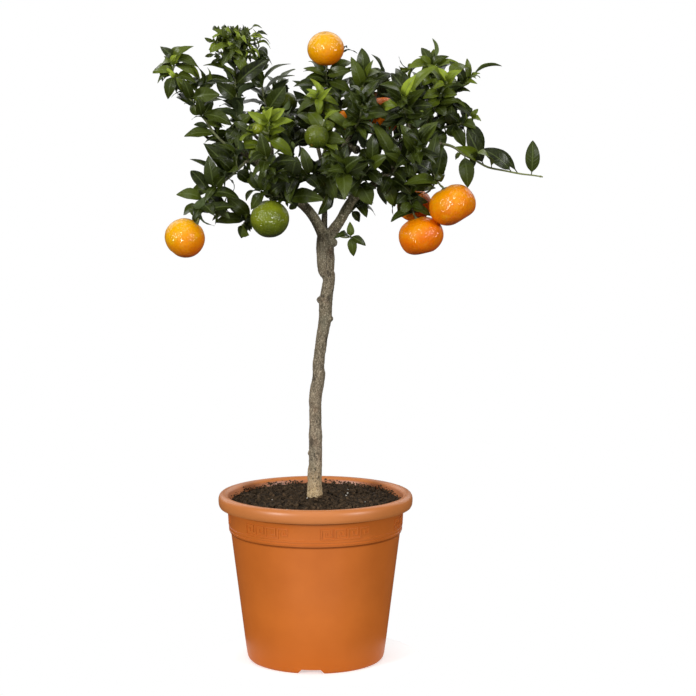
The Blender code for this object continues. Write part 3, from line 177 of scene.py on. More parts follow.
SHOOTS = (
    Shoot(
        "left_tip",
        ((-90, -22, 631), (-97, -24, 633)),
        ((-99, -24, 633), (-112, -27, 642), (-122, -30, 653), (-131, -33, 667), (-142, -36, 680),
        (-149, -36, 693), (-160, -36, 708), (-169, -35, 719), (-168, -33, 738)),
        ((1.0, -180, -41, 754, 11, 30), (1.0, -165, -29, 758, 10, 70), (1.0, -152, -39, 755, 11, 30),
        (1.0, -140, -43, 736, 14, 40), (0.95, -135, -34, 721, 17, 50), (0.98, -184, -29, 737, 15, 50),
        (0.91, -193, -42, 734, 14, 40), (0.86, -175, -45, 696, 14, 15), (0.83, -145, -47, 719, 15, 45),
        (0.64, -162, -46, 716, 14, 30), (0.6, -153, -52, 712, 12, 20), (0.6, -115, -46, 699, 18, 20),
        (0.47, -114, -29, 697, 15, 70), (0.54, -163, -32, 700, 15, 60), (0.42, -138, -46, 692, 12, 25),
        (0.43, -98, -38, 664, 17, 45), (0.36, -110, -49, 663, 18, 20), (0.2, -156, -37, 649, 14, 45)),
        (0, 0.25, 1.0),
    ),
    Shoot(
        "left_crown",
        ((-85, -21, 628), (-93, -17, 637)),
        ((-93, -16, 639), (-94, -12, 655), (-94, -6, 673), (-96, -2, 705), (-96, 0, 731), (-97, 0, 753),
        (-99, 0, 770)),
        ((0.55, -150, -8, 710, 17, 60), (0.4, -116, -20, 710, 16, 15), (0.56, -130, -12, 737, 15, 70),
        (0.59, -104, -13, 731, 6, 40), (0.53, -58, -16, 740, 17, 15), (0.82, -59, 6, 751, 17, 60),
        (0.76, -55, -10, 743, 16, 40), (0.92, -57, 6, 765, 17, 60), (0.14, -79, -21, 673, 17, 30),
        (0.9, -130, -8, 762, 11, 30), (0.85, -130, -8, 743, 13, 40), (0.83, -122, -10, 736, 11, 40),
        (0.94, -122, 6, 777, 11, 40), (0.96, -111, -10, 781, 11, 30), (0.97, -100, 6, 784, 9, 20),
        (0.96, -86, -8, 782, 11, 30), (0.95, -68, -10, 781, 11, 25), (0.92, -60, -6, 773, 12, 35),
        (0.88, -58, 8, 760, 15, 50), (0.85, -68, -8, 750, 11, 30), (0.83, -82, 8, 742, 12, 35),
        (0.92, -108, -22, 767, 11, 15), (0.9, -86, -24, 766, 11, 15), (0.85, -98, -26, 754, 11, 15),
        (0.94, -93, 22, 775, 11, 30), (0.88, -118, 20, 760, 13, 40), (0.9, -76, 22, 768, 11, 30)),
        (7, 0.62, 0.7),
    ),
    Shoot(
        "left_inner",
        ((-59, -17, 607), (-59, -12, 619), (-58, -2, 634)),
        ((-58, -1, 636), (-57, 8, 657), (-58, 14, 681), (-62, 14, 694), (-65, 12, 718), (-64, 10, 731)),
        ((0.8, -30, 22, 736, 12, 75), (0.66, -26, 10, 722, 15, 70), (0.43, -36, -1, 707, 19, 15),
        (0.57, -86, 22, 708, 10, 75), (0.5, -93, 8, 689, 15, 70), (0.73, -76, 3, 719, 13, 30)),
        (3, 0.25, 1.0),
    ),
    Shoot(
        "left_rosette",
        ((-69, -18, 615), (-62, -28, 629)),
        ((-62, -29, 631), (-57, -36, 643), (-55, -42, 658), (-55, -46, 667)),
        ((0.87, -77, -58, 677, 12, 10), (0.95, -60, -51, 682, 11, 10), (0.98, -37, -56, 681, 13, 20),
        (0.68, -27, -53, 668, 14, 40), (0.38, -26, -46, 627, 15, 30), (0.27, -55, -50, 630, 6, 20),
        (0.14, -92, -42, 635, 14, 40), (0.62, -81, -56, 658, 14, 40)),
        (3, 0.4, 0.8),
    ),
    Shoot(
        "left_low",
        ((-59, -17, 607), (-71, -22, 617), (-83, -30, 616)),
        ((-85, -31, 615), (-104, -38, 598), (-114, -41, 591), (-126, -44, 582), (-133, -45, 572),
        (-136, -46, 562), (-139, -46, 551)),
        ((0.22, -132, -42, 640, 18, 25), (0.41, -145, -50, 624, 11, 50), (0.54, -126, -57, 623, 17, 15),
        (0.63, -148, -40, 608, 15, 35), (0.75, -164, -51, 582, 15, 45), (0.49, -131, -52, 574, 9, 40),
        (0.82, -143, -62, 554, 12, 20), (0.85, -160, -36, 556, 13, 40), (0.68, -93, -50, 581, 17, 50),
        (0.94, -96, -60, 567, 14, 30), (0.3, -94, -32, 581, 7, 70), (0.22, -112, -48, 622, 16, 25)),
        (0, 0.25, 1.0),
    ),
    Shoot(
        "left_under",
        ((-38, -14, 584), (-50, 0, 568), (-65, -4, 555)),
        ((-66, -5, 554), (-77, -10, 548), (-84, -16, 545), (-87, -22, 539)),
        ((0.45, -105, -25, 575, 17, 15), (0.68, -119, -25, 548, 15, 35), (0.9, -89, -30, 528, 12, 20),
        (0.42, -83, 2, 529, 9, 40)),
        (2, 0.25, 1.0),
    ),
    Shoot(
        "left_front",
        ((-17, -11, 567), (-23, -24, 567)),
        ((-25, -26, 567), (-35, -36, 572), (-46, -44, 577), (-56, -50, 579), (-63, -54, 582)),
        ((0.91, -60, -68, 613, 16, 10), (1.0, -76, -62, 564, 13, 15), (0.58, -33, -54, 612, 14, 20),
        (0.39, -18, -52, 599, 15, 25), (0.29, 8, -56, 577, 19, 35), (0.12, -23, -14, 561, 13, 40),
        (0.98, -81, -42, 601, 15, 30)),
        (1, 0.25, 1.0),
    ),
    Shoot(
        "centre_left",
        ((39, -10, 618), (25, -20, 610)),
        ((23, -22, 609), (8, -32, 605), (-6, -42, 601), (-18, -50, 599), (-29, -56, 601)),
        ((0.98, -22, -63, 624, 18, 10), (0.57, -14, -52, 633, 13, 20), (0.06, -1, -40, 616, 17, 50),
        (0.8, -44, -40, 630, 14, 40), (0.29, -5, -46, 594, 12, 45), (0.19, 25, -42, 576, 12, 20)),
        (3, 0.25, 1.0),
    ),
    Shoot(
        "centre_green",
        ((39, -8, 643), (30, -28, 631)),
        ((29, -30, 630), (20, -48, 629), (14, -62, 637), (12, -70, 649), (12, -74, 656)),
        ((0.94, 20, -82, 669, 13, 15), (0.82, 32, -82, 646, 14, 20), (0.54, 31, -72, 628, 13, 20),
        (0.89, -8, -65, 679, 15, 20), (0.94, -21, -62, 676, 13, 20)),
        (3, 0.25, 1.0),
    ),
    Shoot(
        "top_fruit",
        ((40, -2, 666), (29, -2, 679)),
        ((28, -2, 680), (19, -4, 691), (16, -6, 703), (14, -10, 717), (13, -13, 726)),
        ((0.53, -24, -12, 712, 17, 50), (0.77, -12, -17, 728, 12, 60), (0.67, -8, -20, 721, 15, 55),
        (0.85, 42, -23, 728, 13, 25), (0.71, 43, -19, 703, 13, 40), (0.81, 45, 0, 741, 13, 40),
        (0.81, 45, 4, 763, 14, 40), (0.78, 43, 10, 771, 12, 60)),
        (3, 0.25, 1.0),
    ),
    Shoot(
        "top_rosette",
        ((39, 2, 676), (28, -14, 672), (16, -28, 672)),
        ((14, -30, 672), (7, -40, 679), (5, -46, 689), (5, -50, 696)),
        ((0.8, -21, -57, 679, 13, 40), (0.87, -5, -56, 704, 8, 30), (0.89, 8, -56, 708, 8, 30),
        (0.8, 6, -63, 676, 10, 10), (0.87, 25, -60, 691, 10, 35), (0.33, 30, -46, 682, 11, 40),
        (0.89, -14, -40, 697, 11, 50)),
        (4, 0.4, 0.7),
    ),
    Shoot(
        "top_centre",
        ((39, 2, 676), (45, -6, 687)),
        ((46, -7, 688), (52, -16, 698), (57, -22, 707), (60, -26, 718)),
        ((0.91, 56, -33, 752, 17, 10), (0.63, 46, -35, 737, 15, 15), (0.66, 74, -35, 723, 12, 25),
        (0.49, 92, -8, 725, 16, 25), (0.27, 70, -31, 699, 13, 35), (0.91, 78, -17, 728, 15, 60),
        (0.17, 33, 1, 703, 16, 40)),
        (3, 0.25, 1.0),
    ),
    Shoot(
        "right_rosette",
        ((114, -1, 662), (114, -10, 670)),
        ((114, -12, 672), (115, -22, 684), (115, -30, 696)),
        ((0.83, 108, -37, 707, 7, 10), (0.88, 117, -40, 712, 9, 20), (0.69, 97, -35, 698, 10, 45),
        (0.69, 92, -13, 725, 15, 20), (0.47, 99, -1, 734, 15, 30), (0.88, 135, -44, 731, 15, 20),
        (0.18, 91, -30, 692, 13, 25)),
        (3, 0.4, 0.7),
    ),
    Shoot(
        "right_top",
        ((114, 0, 666), (125, 6, 676)),
        ((126, 7, 677), (138, 10, 688), (144, 10, 705), (143, 8, 721), (140, 6, 734)),
        ((1.0, 131, 0, 752, 12, 20), (0.95, 156, -2, 745, 10, 35), (0.95, 113, 0, 731, 15, 50),
        (0.83, 171, 0, 740, 12, 60), (0.73, 152, -6, 705, 13, 30), (0.45, 125, 0, 700, 14, 30)),
        (4, 0.25, 1.0),
    ),
    Shoot(
        "right_bright",
        ((114, -3, 654), (127, -4, 664), (139, -8, 674)),
        ((140, -8, 675), (148, -12, 686), (155, -16, 703), (161, -18, 716)),
        ((0.92, 151, -26, 728, 8, 30), (0.98, 169, -28, 726, 10, 30), (0.77, 174, -28, 718, 12, 35),
        (0.56, 131, -27, 696, 14, 40), (0.44, 161, -25, 710, 13, 40), (0.3, 172, -28, 691, 14, 40)),
        (2, 0.25, 1.0),
    ),
    Shoot(
        "right_spray",
        ((114, -3, 654), (130, 6, 660), (147, 10, 670)),
        ((149, 10, 671), (162, 8, 686), (174, 4, 703), (183, 2, 711), (190, 0, 719)),
        ((0.97, 197, -4, 724, 6, 40), (0.94, 201, 7, 721, 8, 50), (0.81, 165, -6, 737, 12, 25),
        (0.74, 190, -7, 715, 11, 40), (0.51, 185, -6, 703, 11, 40), (0.36, 194, -3, 669, 14, 45)),
        (2, 0.25, 1.0),
    ),
    Shoot(
        "right_side",
        ((113, -4, 645), (132, -2, 651), (149, 0, 656)),
        ((151, 0, 656), (166, -4, 660), (180, -6, 663), (191, -6, 669)),
        ((0.97, 195, -12, 679, 7, 30), (0.97, 201, 2, 668, 9, 50), (0.78, 204, -14, 631, 17, 15),
        (0.37, 181, -18, 634, 14, 20), (0.32, 165, -13, 682, 14, 30), (0.72, 188, 4, 683, 14, 40),
        (0.04, 151, -12, 631, 15, 25)),
        (2, 0.25, 1.0),
    ),
    Shoot(
        "far_right",
        ((113, -5, 641), (133, -12, 643), (152, -18, 638)),
        ((154, -18, 638), (163, -20, 636), (171, -20, 632), (178, -20, 626), (194, -20, 618),
        (209, -19, 610), (228, -18, 606), (248, -16, 602), (264, -14, 600), (276, -12, 598)),
        ((0.89, 263, -18, 642, 17, 5), (0.7, 204, -23, 633, 17, 30), (0.76, 206, -6, 637, 15, 50),
        (0.63, 192, -34, 619, 16, 35), (0.43, 183, -11, 656, 17, 15), (0.23, 184, -30, 587, 18, 10),
        (0.33, 170, -36, 637, 14, 30), (0.51, 195, -39, 630, 14, 30), (0.19, 169, -24, 621, 6, 50)),
        (0, 0.25, 1.0),
    ),
    Shoot(
        "right_hang",
        ((109, -8, 623), (118, -18, 619)),
        ((120, -20, 618), (131, -28, 612), (140, -34, 605), (146, -38, 596), (151, -40, 588)),
        ((0.98, 150, -50, 623, 16, 10), (0.86, 112, -51, 595, 16, 25), (0.65, 118, -49, 618, 17, 30),
        (0.51, 146, -45, 651, 15, 25), (0.24, 140, -14, 635, 16, 25)),
        (1, 0.25, 1.0),
    ),
    Shoot(
        "right_drop",
        ((99, -10, 615), (104, -14, 601)),
        ((105, -14, 599), (111, -20, 583), (113, -24, 574), (117, -28, 561), (120, -30, 551)),
        ((0.92, 91, -41, 548, 13, 35), (0.8, 135, -42, 559, 12, 35), (0.38, 125, -35, 593, 16, 25),
        (0.36, 90, -6, 554, 12, 60), (0.17, 122, -7, 617, 17, 30)),
        (1, 0.25, 1.0),
    ),
    Shoot(
        "right_inner",
        ((68, -12, 587), (78, -22, 594)),
        ((80, -24, 595), (88, -36, 598), (94, -48, 606), (99, -56, 615)),
        ((0.12, 97, -18, 563, 17, 20), (0.32, 115, -45, 582, 15, 25), (0.59, 70, -58, 620, 15, 30),
        (0.83, 117, -64, 632, 15, 30), (0.92, 90, -64, 643, 15, 15), (0.24, 81, -18, 571, 13, 30)),
        (3, 0.25, 1.0),
    ),
    Shoot(
        "low_centre",
        ((51, -9, 576), (54, -20, 583)),
        ((55, -22, 584), (54, -32, 593), (59, -42, 603), (68, -50, 613)),
        ((0.2, 68, -38, 567, 19, 15), (0.46, 33, -48, 576, 13, 25), (0.8, 81, -58, 592, 15, 30),
        (0.7, 42, -57, 624, 16, 25), (0.95, 93, -61, 618, 16, 40), (0.89, 74, -56, 639, 16, 15)),
        (2, 0.25, 1.0),
    ),
    Shoot(
        "trunk_star",
        ((18, -3, 532), (26, -18, 528)),
        ((27, -20, 528), (36, -26, 526), (43, -32, 527)),
        ((1.0, 42, -38, 543, 9, 20), (1.0, 46, -40, 507, 11, 10), (1.0, 59, -42, 520, 10, 20),
        (0.79, 29, -47, 533, 9, 40)),
        (0, 0.25, 1.0),
    ),
    Shoot(
        "low_right",
        ((34, -5, 550), (41, 6, 555)),
        ((43, 8, 555), (50, 16, 561), (54, 22, 565)),
        ((0.09, 56, 1, 543, 11, 30), (0.66, 76, 23, 553, 12, 60), (0.86, 62, 8, 553, 13, 40),
        (0.76, 70, 28, 577, 13, 40)),
        (1, 0.25, 1.0),
    ),
    Shoot(
        "back_left",
        ((-67, 105, 637), (-78, 114, 646)),
        ((-79, 116, 648), (-93, 130, 664), (-101, 140, 685), (-103, 146, 704)),
        (),
        (9, 0.1, 1.0),
    ),
    Shoot(
        "back_left_low",
        ((-53, 70, 618), (-70, 84, 617)),
        ((-72, 86, 617), (-92, 100, 611), (-109, 112, 601)),
        (),
        (8, 0.1, 1.0),
    ),
    Shoot(
        "back_left_top",
        ((-53, 70, 618), (-54, 74, 644)),
        ((-54, 75, 647), (-52, 82, 675), (-48, 88, 702)),
        (),
        (8, 0.1, 1.0),
    ),
    Shoot(
        "back_middle",
        ((2, 115, 636), (-1, 126, 649)),
        ((-2, 128, 651), (-7, 142, 671), (-9, 150, 695)),
        (),
        (9, 0.1, 1.0),
    ),
    Shoot(
        "back_middle_low",
        ((8, 85, 613), (11, 102, 605)),
        ((11, 105, 604), (16, 130, 595), (20, 152, 589)),
        (),
        (8, 0.1, 1.0),
    ),
    Shoot(
        "back_middle_top",
        ((8, 85, 613), (18, 86, 644)),
        ((19, 86, 647), (26, 88, 677), (30, 90, 706)),
        (),
        (8, 0.1, 1.0),
    ),
    Shoot(
        "back_right",
        ((117, 112, 657), (122, 122, 667)),
        ((123, 124, 669), (132, 134, 687), (134, 140, 706)),
        (),
        (8, 0.1, 1.0),
    ),
    Shoot(
        "back_right_low",
        ((109, 75, 636), (124, 84, 632)),
        ((127, 86, 631), (148, 96, 622), (164, 104, 609)),
        (),
        (8, 0.1, 1.0),
    ),
    Shoot(
        "back_right_top",
        ((109, 75, 636), (99, 78, 659)),
        ((98, 78, 662), (89, 84, 687), (83, 88, 710)),
        (),
        (8, 0.1, 1.0),
    ),
    Shoot(
        "front_left",
        ((-38, -14, 583), (-44, -40, 595)),
        ((-45, -43, 596), (-52, -75, 609), (-58, -105, 626)),
        (),
        (7, 0.15, 1.0),
    ),
    Shoot(
        "front_middle",
        ((37, -10, 609), (30, -40, 609)),
        ((29, -43, 609), (30, -72, 605), (34, -100, 607)),
        (),
        (7, 0.15, 1.0),
    ),
    Shoot(
        "front_middle_top",
        ((39, -8, 636), (44, -36, 650)),
        ((44, -39, 652), (52, -70, 667), (56, -96, 687)),
        (),
        (7, 0.15, 1.0),
    ),
    Shoot(
        "front_right",
        ((86, -12, 603), (97, -40, 611)),
        ((98, -43, 612), (111, -76, 622), (120, -104, 638)),
        (),
        (7, 0.15, 1.0),
    ),
    Shoot(
        "front_right_top",
        ((114, -4, 650), (111, -32, 659)),
        ((111, -35, 661), (107, -66, 675), (103, -92, 693)),
        (),
        (7, 0.15, 1.0),
    ),
)

FRUIT_SHOULDER = 0.96
STALK_FOOT = 7.0
SMALL_FRUIT_R = 16.0
# Fruit: centre, radius, height over width, direction of the stalk, stem and share that carry it
Fruit = namedtuple("Fruit", "name centre radius flat stalk stem share ripe")
FRUITS = (
    Fruit("mandarin_top", (13, -16, 752), 22.0, 0.93, (0.05, 0.3, -0.95), "top_fruit", 1.0, 1.0),
    Fruit("mandarin_left", (-156, -46, 527), 24.2, 0.96, (0.62, 0.02, 0.78), "left_low", 1.0, 0.9),
    Fruit("mandarin_low_right", (128, -32, 528), 27.2, 0.84, (-0.28, 0.08, 0.95), "right_drop", 1.0, 1.0),
    Fruit("mandarin_right", (165, -42, 566), 29.3, 0.80, (-0.5, 0.05, 0.87), "right_hang", 1.0, 1.0),
    Fruit("mandarin_back_right", (121, 6, 563), 21.2, 0.9, (-0.25, -0.5, 0.83), "right_drop", 0.35, 1.0),
    Fruit("mandarin_inner", (81, 22, 670), 25.0, 0.9, (-0.6, -0.1, 0.79), "top_centre", 0.12, 1.0),
    Fruit("mandarin_small", (33, -38, 667), 11.8, 0.95, (-0.8, 0.2, 0.56), "top_rosette", 0.1, 0.8),
    Fruit("green_mandarin_left", (-54, -50, 550), 23.2, 0.97, (0.05, 0.2, 0.97), "left_front", 0.62, 0.0),
    Fruit("green_mandarin_centre", (2, -85, 649), 14.3, 0.98, (0.45, 0.5, 0.74), "centre_green", 0.75, 0.0),
    Fruit("green_mandarin_back", (-34, 32, 687), 12.5, 0.98, (-0.75, -0.3, 0.58), "left_inner", 0.45, 0.0),
    Fruit("green_mandarin_small", (-68, -58, 657), 6.5, 1.0, (0.8, 0.45, -0.4), "left_rosette", 0.6, 0.0),
)

# Open sky seen from the front between the leaves: place to the right, height, radius
SKY = (
    (-130, 745, 14), (-145, 760, 8), (-19, 753, 22), (-30, 770, 26), (65, 775, 26), (94, 760, 22),
    (-44, 720, 8), (-38, 743, 12), (108, 743, 9), (-13, 718, 8), (-165, 671, 16), (-185, 644, 30),
    (-166, 605, 12), (-113, 621, 8), (-115, 675, 4), (-74, 693, 8), (211, 693, 30), (222, 658, 22),
    (237, 624, 14), (178, 605, 12), (209, 585, 24), (168, 644, 7), (-96, 595, 9), (-58, 654, 5),
    (-19, 654, 4), (-52, 638, 6), (1, 624, 8), (-9, 593, 6), (20, 595, 5), (-9, 546, 12), (60, 546, 16),
    (79, 565, 10), (84, 536, 18), (99, 595, 4), (130, 605, 4), (-108, 526, 20),
    (200, 734, 11), (-89, 514, 10), (75, 739, 7), (129, 765, 10), (166, 620, 10), (163, 593, 7),
    (-74, 654, 4), (-56, 630, 7), (-42, 621, 5), (-22, 710, 5), (205, 646, 5), (293, 603, 15),
    (274, 582, 10), (-1, 622, 7), (-13, 604, 6), (105, 608, 4), (83, 588, 4), (2, 596, 4), (-48, 707, 4),
)
# The pruned wood and the main limb show between the leaves here
WINDOWS = ((30, 565, 10), (50, 583, 8), (75, 595, 9), (93, 611, 9), (107, 624, 7), (-13, 566, 10))
# The photograph's camera: distance in front of the pot's axis and height
EYE_DISTANCE = 2700.0
EYE_HEIGHT = 720.0


def world(point):
    """A place on the plant, in metres from the origin."""
    return (Vector(point) + ORIGIN_SHIFT) * MM


def placed(name, data):
    """A new object in the scene."""
    made = bpy.data.objects.new(name, data)
    bpy.context.scene.collection.objects.link(made)
    return made


def freeze(made):
    """Gives an object the mesh that its modifiers make."""
    graph = bpy.context.evaluated_depsgraph_get()
    mesh = bpy.data.meshes.new_from_object(made.evaluated_get(graph))
    made.modifiers.clear()
    old = made.data
    made.data = mesh
    bpy.data.meshes.remove(old)


def cut_by(base, cutter):
    """Cuts one object out of another when that one is frozen."""
    cut = base.modifiers.new("cut", "BOOLEAN")
    cut.operation = "DIFFERENCE"
    cut.object = cutter


def turned(name, profile, count):
    """A profile of radius and height turned about the pot's axis, read down its outer side."""
    mesh = bpy.data.meshes.new(name)
    points = [(r * MM, 0.0, z * MM) for r, z in profile]
    mesh.from_pydata(points, [(i, i + 1) for i in range(len(points) - 1)], [])
    made = placed(name, mesh)
    made.location = ORIGIN_SHIFT * MM
    screw = made.modifiers.new("turn", "SCREW")
    screw.angle = 2 * math.pi
    screw.steps = screw.render_steps = count
    screw.use_merge_vertices = True
    screw.merge_threshold = 0.05 * MM
    screw.use_smooth_shade = True
    return made


def pot_wall_r(z):
    return POT_FOOT_R + POT_TAPER * z


# How far below the floor a notch's cutting bar starts, and its ends as shares of the foot's radius
NOTCH_BELOW = -4.0
NOTCH_REACH = (0.7, 1.2)


def notch_cutter(angle):
    """A trapezoid bar laid through the foot ring."""
    foot, top = NOTCH_FOOT_WIDTH / 2, NOTCH_TOP_WIDTH / 2
    low = foot - (foot - top) / NOTCH_HEIGHT * NOTCH_BELOW
    section = ((-low, NOTCH_BELOW), (low, NOTCH_BELOW), (top, NOTCH_HEIGHT), (-top, NOTCH_HEIGHT))
    out = Vector((math.cos(angle), math.sin(angle), 0))
    side = Vector((-math.sin(angle), math.cos(angle), 0))
    ends = [POT_FOOT_R * share for share in NOTCH_REACH]
    points = [world(out * r + side * s + Vector((0, 0, z))) for r in ends for s, z in section]
    faces = [(0, 3, 2, 1), (4, 5, 6, 7), (0, 1, 5, 4), (1, 2, 6, 5), (2, 3, 7, 6), (3, 0, 4, 7)]
    mesh = bpy.data.meshes.new("notch")
    mesh.from_pydata(points, [], faces)
    return placed("notch", mesh)


def drain_cutter(angle):
    place = world((DRAIN_RING_R * math.cos(angle), DRAIN_RING_R * math.sin(angle), FOOT_RECESS))
    bpy.ops.mesh.primitive_cylinder_add(
        vertices=10, radius=DRAIN_HOLE_R * MM, depth=4 * FOOT_RECESS * MM, location=place
    )
    return bpy.context.object


def twig_route(shoot):
    """The woody foot of a leafy stem, ending square to it with a thin gap between the two."""
    stem = Vector(shoot.stem[0])
    away = (Vector(shoot.stem[1]) - stem).normalized()
    foot = stem - away * (CLEAR_GAP + TWIG_END)
    given = [Vector(p) for p in shoot.twig[:-1]]
    return given + [foot, stem - away * CLEAR_GAP]


def across(direction, facing):
    """The part of a facing direction that lies square to another direction."""
    out = facing - direction * facing.dot(direction)
    if out.length < 0.05:
        side = Vector((1, 0, 0))
        out = side - direction * side.dot(direction)
    return out.normalized()


def turns(count):
    """Even angles once round."""
    return [2 * math.pi * k / count for k in range(count)]


def spoke(first, second, turn):
    """The direction at an angle between two square ones."""
    return first * math.cos(turn) + second * math.sin(turn)


def bell(x, spread):
    return math.exp(-((x / spread) ** 2))


def extent(points):
    """The middle of some points and how far they reach from it."""
    middle = sum(points, Vector()) / len(points)
    return middle, max((p - middle).length for p in points)


def cage_faces(rings, sides):
    """Triangles between open rings of points."""
    faces = []
    for i in range(rings - 1):
        for k in range(sides):
            j = (k + 1) % sides
            a, b = i * sides, (i + 1) * sides
            faces += [(a + k, a + j, b + j), (a + k, b + j, b + k)]
    return faces


def skin_faces(rings, sides):
    """Faces of a closed skin: a first point, rings of points, and a last point."""
    faces = []
    for k in range(sides):
        j = (k + 1) % sides
        faces.append((0, 1 + k, 1 + j))
        for i in range(rings - 1):
            a = 1 + i * sides
            b = a + sides
            faces.append((a + k, b + k, b + j, a + j))
        low = 1 + (rings - 1) * sides
        faces.append((low + k, low + sides, low + j))
    return faces


# A blade: its widest places along the leaf, then its triangles by point number
STATIONS = ((0.36, 1.0), (0.7, 0.78))
BLADE_FACES = (
    (0, 3, 2), (1, 4, 5), (0, 2, 4), (0, 4, 1), (0, 1, 5), (0, 5, 3),
    (2, 3, 7), (2, 7, 6), (4, 9, 5), (4, 8, 9), (2, 6, 8), (2, 8, 4), (3, 5, 9), (3, 9, 7),
    (6, 7, 10), (8, 10, 9), (6, 10, 8), (7, 9, 10),
)
SHORT_STATIONS = ((0.45, 1.0),)
SHORT_FACES = BLADE_FACES[:6] + ((2, 3, 6), (4, 6, 5), (2, 6, 4), (3, 5, 6))


def blade_mesh(root, tip, width, normal, grow=0.0, skip=0.0):
    """Points and triangles of a closed, arched leaf blade, split alike above and below."""
    short = (tip - root).length < SHORT_LEAF
    stations = SHORT_STATIONS if short else STATIONS
    faces = SHORT_FACES if short else BLADE_FACES
    along = tip - root
    length = along.length
    along.normalize()
    up = across(along, normal)
    side = along.cross(up)
    half = up * (BLADE_THICK / 2 + grow)
    lift = up * BLADE_ARCH * length
    start = root + along * skip
    points = [start + half, start - half]
    for share, spread in stations:
        rib = root + along * (length * share) + lift * (4 * share * (1 - share))
        reach = side * (width / 2 * spread + grow)
        points += [rib - reach + half, rib + reach + half, rib - reach - half, rib + reach - half]
    points.append(tip + along * grow)
    return points, faces


class Space:
    """What already stands in the crown, to test a new leaf against."""

    def __init__(self):
        self.things = []
        self.balls = []

    def add(self, owner, points, faces):
        self.things.append((owner, *extent(points), BVHTree.FromPolygons(points, faces)))

    def free(self, points, faces, owner=None):
        """Whether a shape crosses nothing, leaving out what its owner holds."""
        middle, reach = extent(points)
        tree = None
        for other_owner, other_middle, other_reach, other in self.things:
            if other_owner == owner or (middle - other_middle).length > reach + other_reach:
                continue
            tree = tree or BVHTree.FromPolygons(points, faces)
            if tree.overlap(other):
                return False
        return True

    def off_fruit(self, leaf):
        """Whether a leaf's middle line stays outside every fruit."""
        along = [leaf[0].lerp(leaf[1], share) for share in (0.15, 0.4, 0.7, 1.0)]
        return all((point - centre).length >= radius for centre, radius in self.balls for point in along)

    def fits(self, owner, leaf):
        """A leaf clears everything beyond its foot, and at its foot everything but its own stem."""
        beyond = blade_mesh(*leaf, LEAF_CLEAR, GUARD_START)
        whole = blade_mesh(*leaf, FOOT_CLEAR)
        return self.off_fruit(leaf) and self.free(*beyond) and self.free(*whole, owner)


def tube_cage(route, radii, sides=6):
    """Points and faces round a route, for the space test."""
    points = []
    for i, place in enumerate(route):
        ahead = route[min(i + 1, len(route) - 1)] - route[max(i - 1, 0)]
        first = across(ahead.normalized(), Vector((0.31, 0.87, 0.4)))
        second = ahead.normalized().cross(first)
        points += [place + spoke(first, second, turn) * radii[i] for turn in turns(sides)]
    return points, cage_faces(len(route), sides)


def unit_ball(polar, turn):
    return Vector((math.sin(polar) * math.cos(turn), math.sin(polar) * math.sin(turn), math.cos(polar)))


def ball_cage(centre, radius, rings=6, sides=10):
    """A ball of flat faces round a fruit, for the space test."""
    polars = [math.pi * i / rings for i in range(rings + 1)]
    points = [centre + unit_ball(polar, turn) * radius for polar in polars for turn in turns(sides)]
    return points, cage_faces(rings + 1, sides)


def place_on(route, share):
    """The point at a share of a route's length, and the direction there."""
    lengths = [(b - a).length for a, b in zip(route, route[1:])]
    left = share * sum(lengths)
    for a, b, length in zip(route, route[1:], lengths):
        if left <= length:
            return a.lerp(b, left / length), (b - a).normalized()
        left -= length
    return route[-1].copy(), (route[-1] - route[-2]).normalized()


def stem_route(shoot):
    return [Vector(p) for p in shoot.stem]


def stem_radii(route):
    last = len(route) - 1
    return [STEM_R + (STEM_TIP_R - STEM_R) * i / last for i in range(last + 1)]


def stalk_end(fruit):
    """Where a fruit's stalk stops, a thin gap off its skin, and the way it points."""
    out = Vector(fruit.stalk).normalized()
    return Vector(fruit.centre) + out * (fruit.radius * fruit.flat * FRUIT_SHOULDER + CLEAR_GAP), out


def stalk_route(fruit, shoot):
    """The fruit stalk: out of its stem, bending into the fruit's stalk end."""
    start, ahead = place_on(stem_route(shoot), fruit.share)
    end, out = stalk_end(fruit)
    reach = (end - start).length
    if fruit.share == 1.0:
        start = start - ahead * 1.5
    middle = end + out * min(STALK_FOOT, reach * 0.5)
    return [start, middle, end]


def facing(degrees):
    turn = math.radians(degrees)
    return Vector((0, -math.cos(turn), math.sin(turn)))


def covers(point, circles):
    """Whether a point stands before one of some circles, for the photograph's camera."""
    near = EYE_DISTANCE / (EYE_DISTANCE + point.y)
    x, z = point.x * near, EYE_HEIGHT + (point.z - EYE_HEIGHT) * near
    return any(math.hypot(x - a, z - b) < r for a, b, r in circles)


def hides(points, sky, windows):
    """Whether points of a leaf cover a gap, or wood that shows between the leaves before it."""
    return any(covers(point, sky) or (point.y < 0 and covers(point, windows)) for point in points)


def drawn_leaf(owner, row, route, space):
    """A leaf of known tip, moved a little in depth or turned until it is clear of the rest."""
    share, x, y, z, width, degrees = row
    root, _ = place_on(route, share)
    for depth, turn in NUDGES:
        tip = Vector((x, y + depth, z))
        normal = facing(degrees + turn)
        if space.fits(owner, (root, tip, width, normal)):
            return root, tip, width, normal
    return None


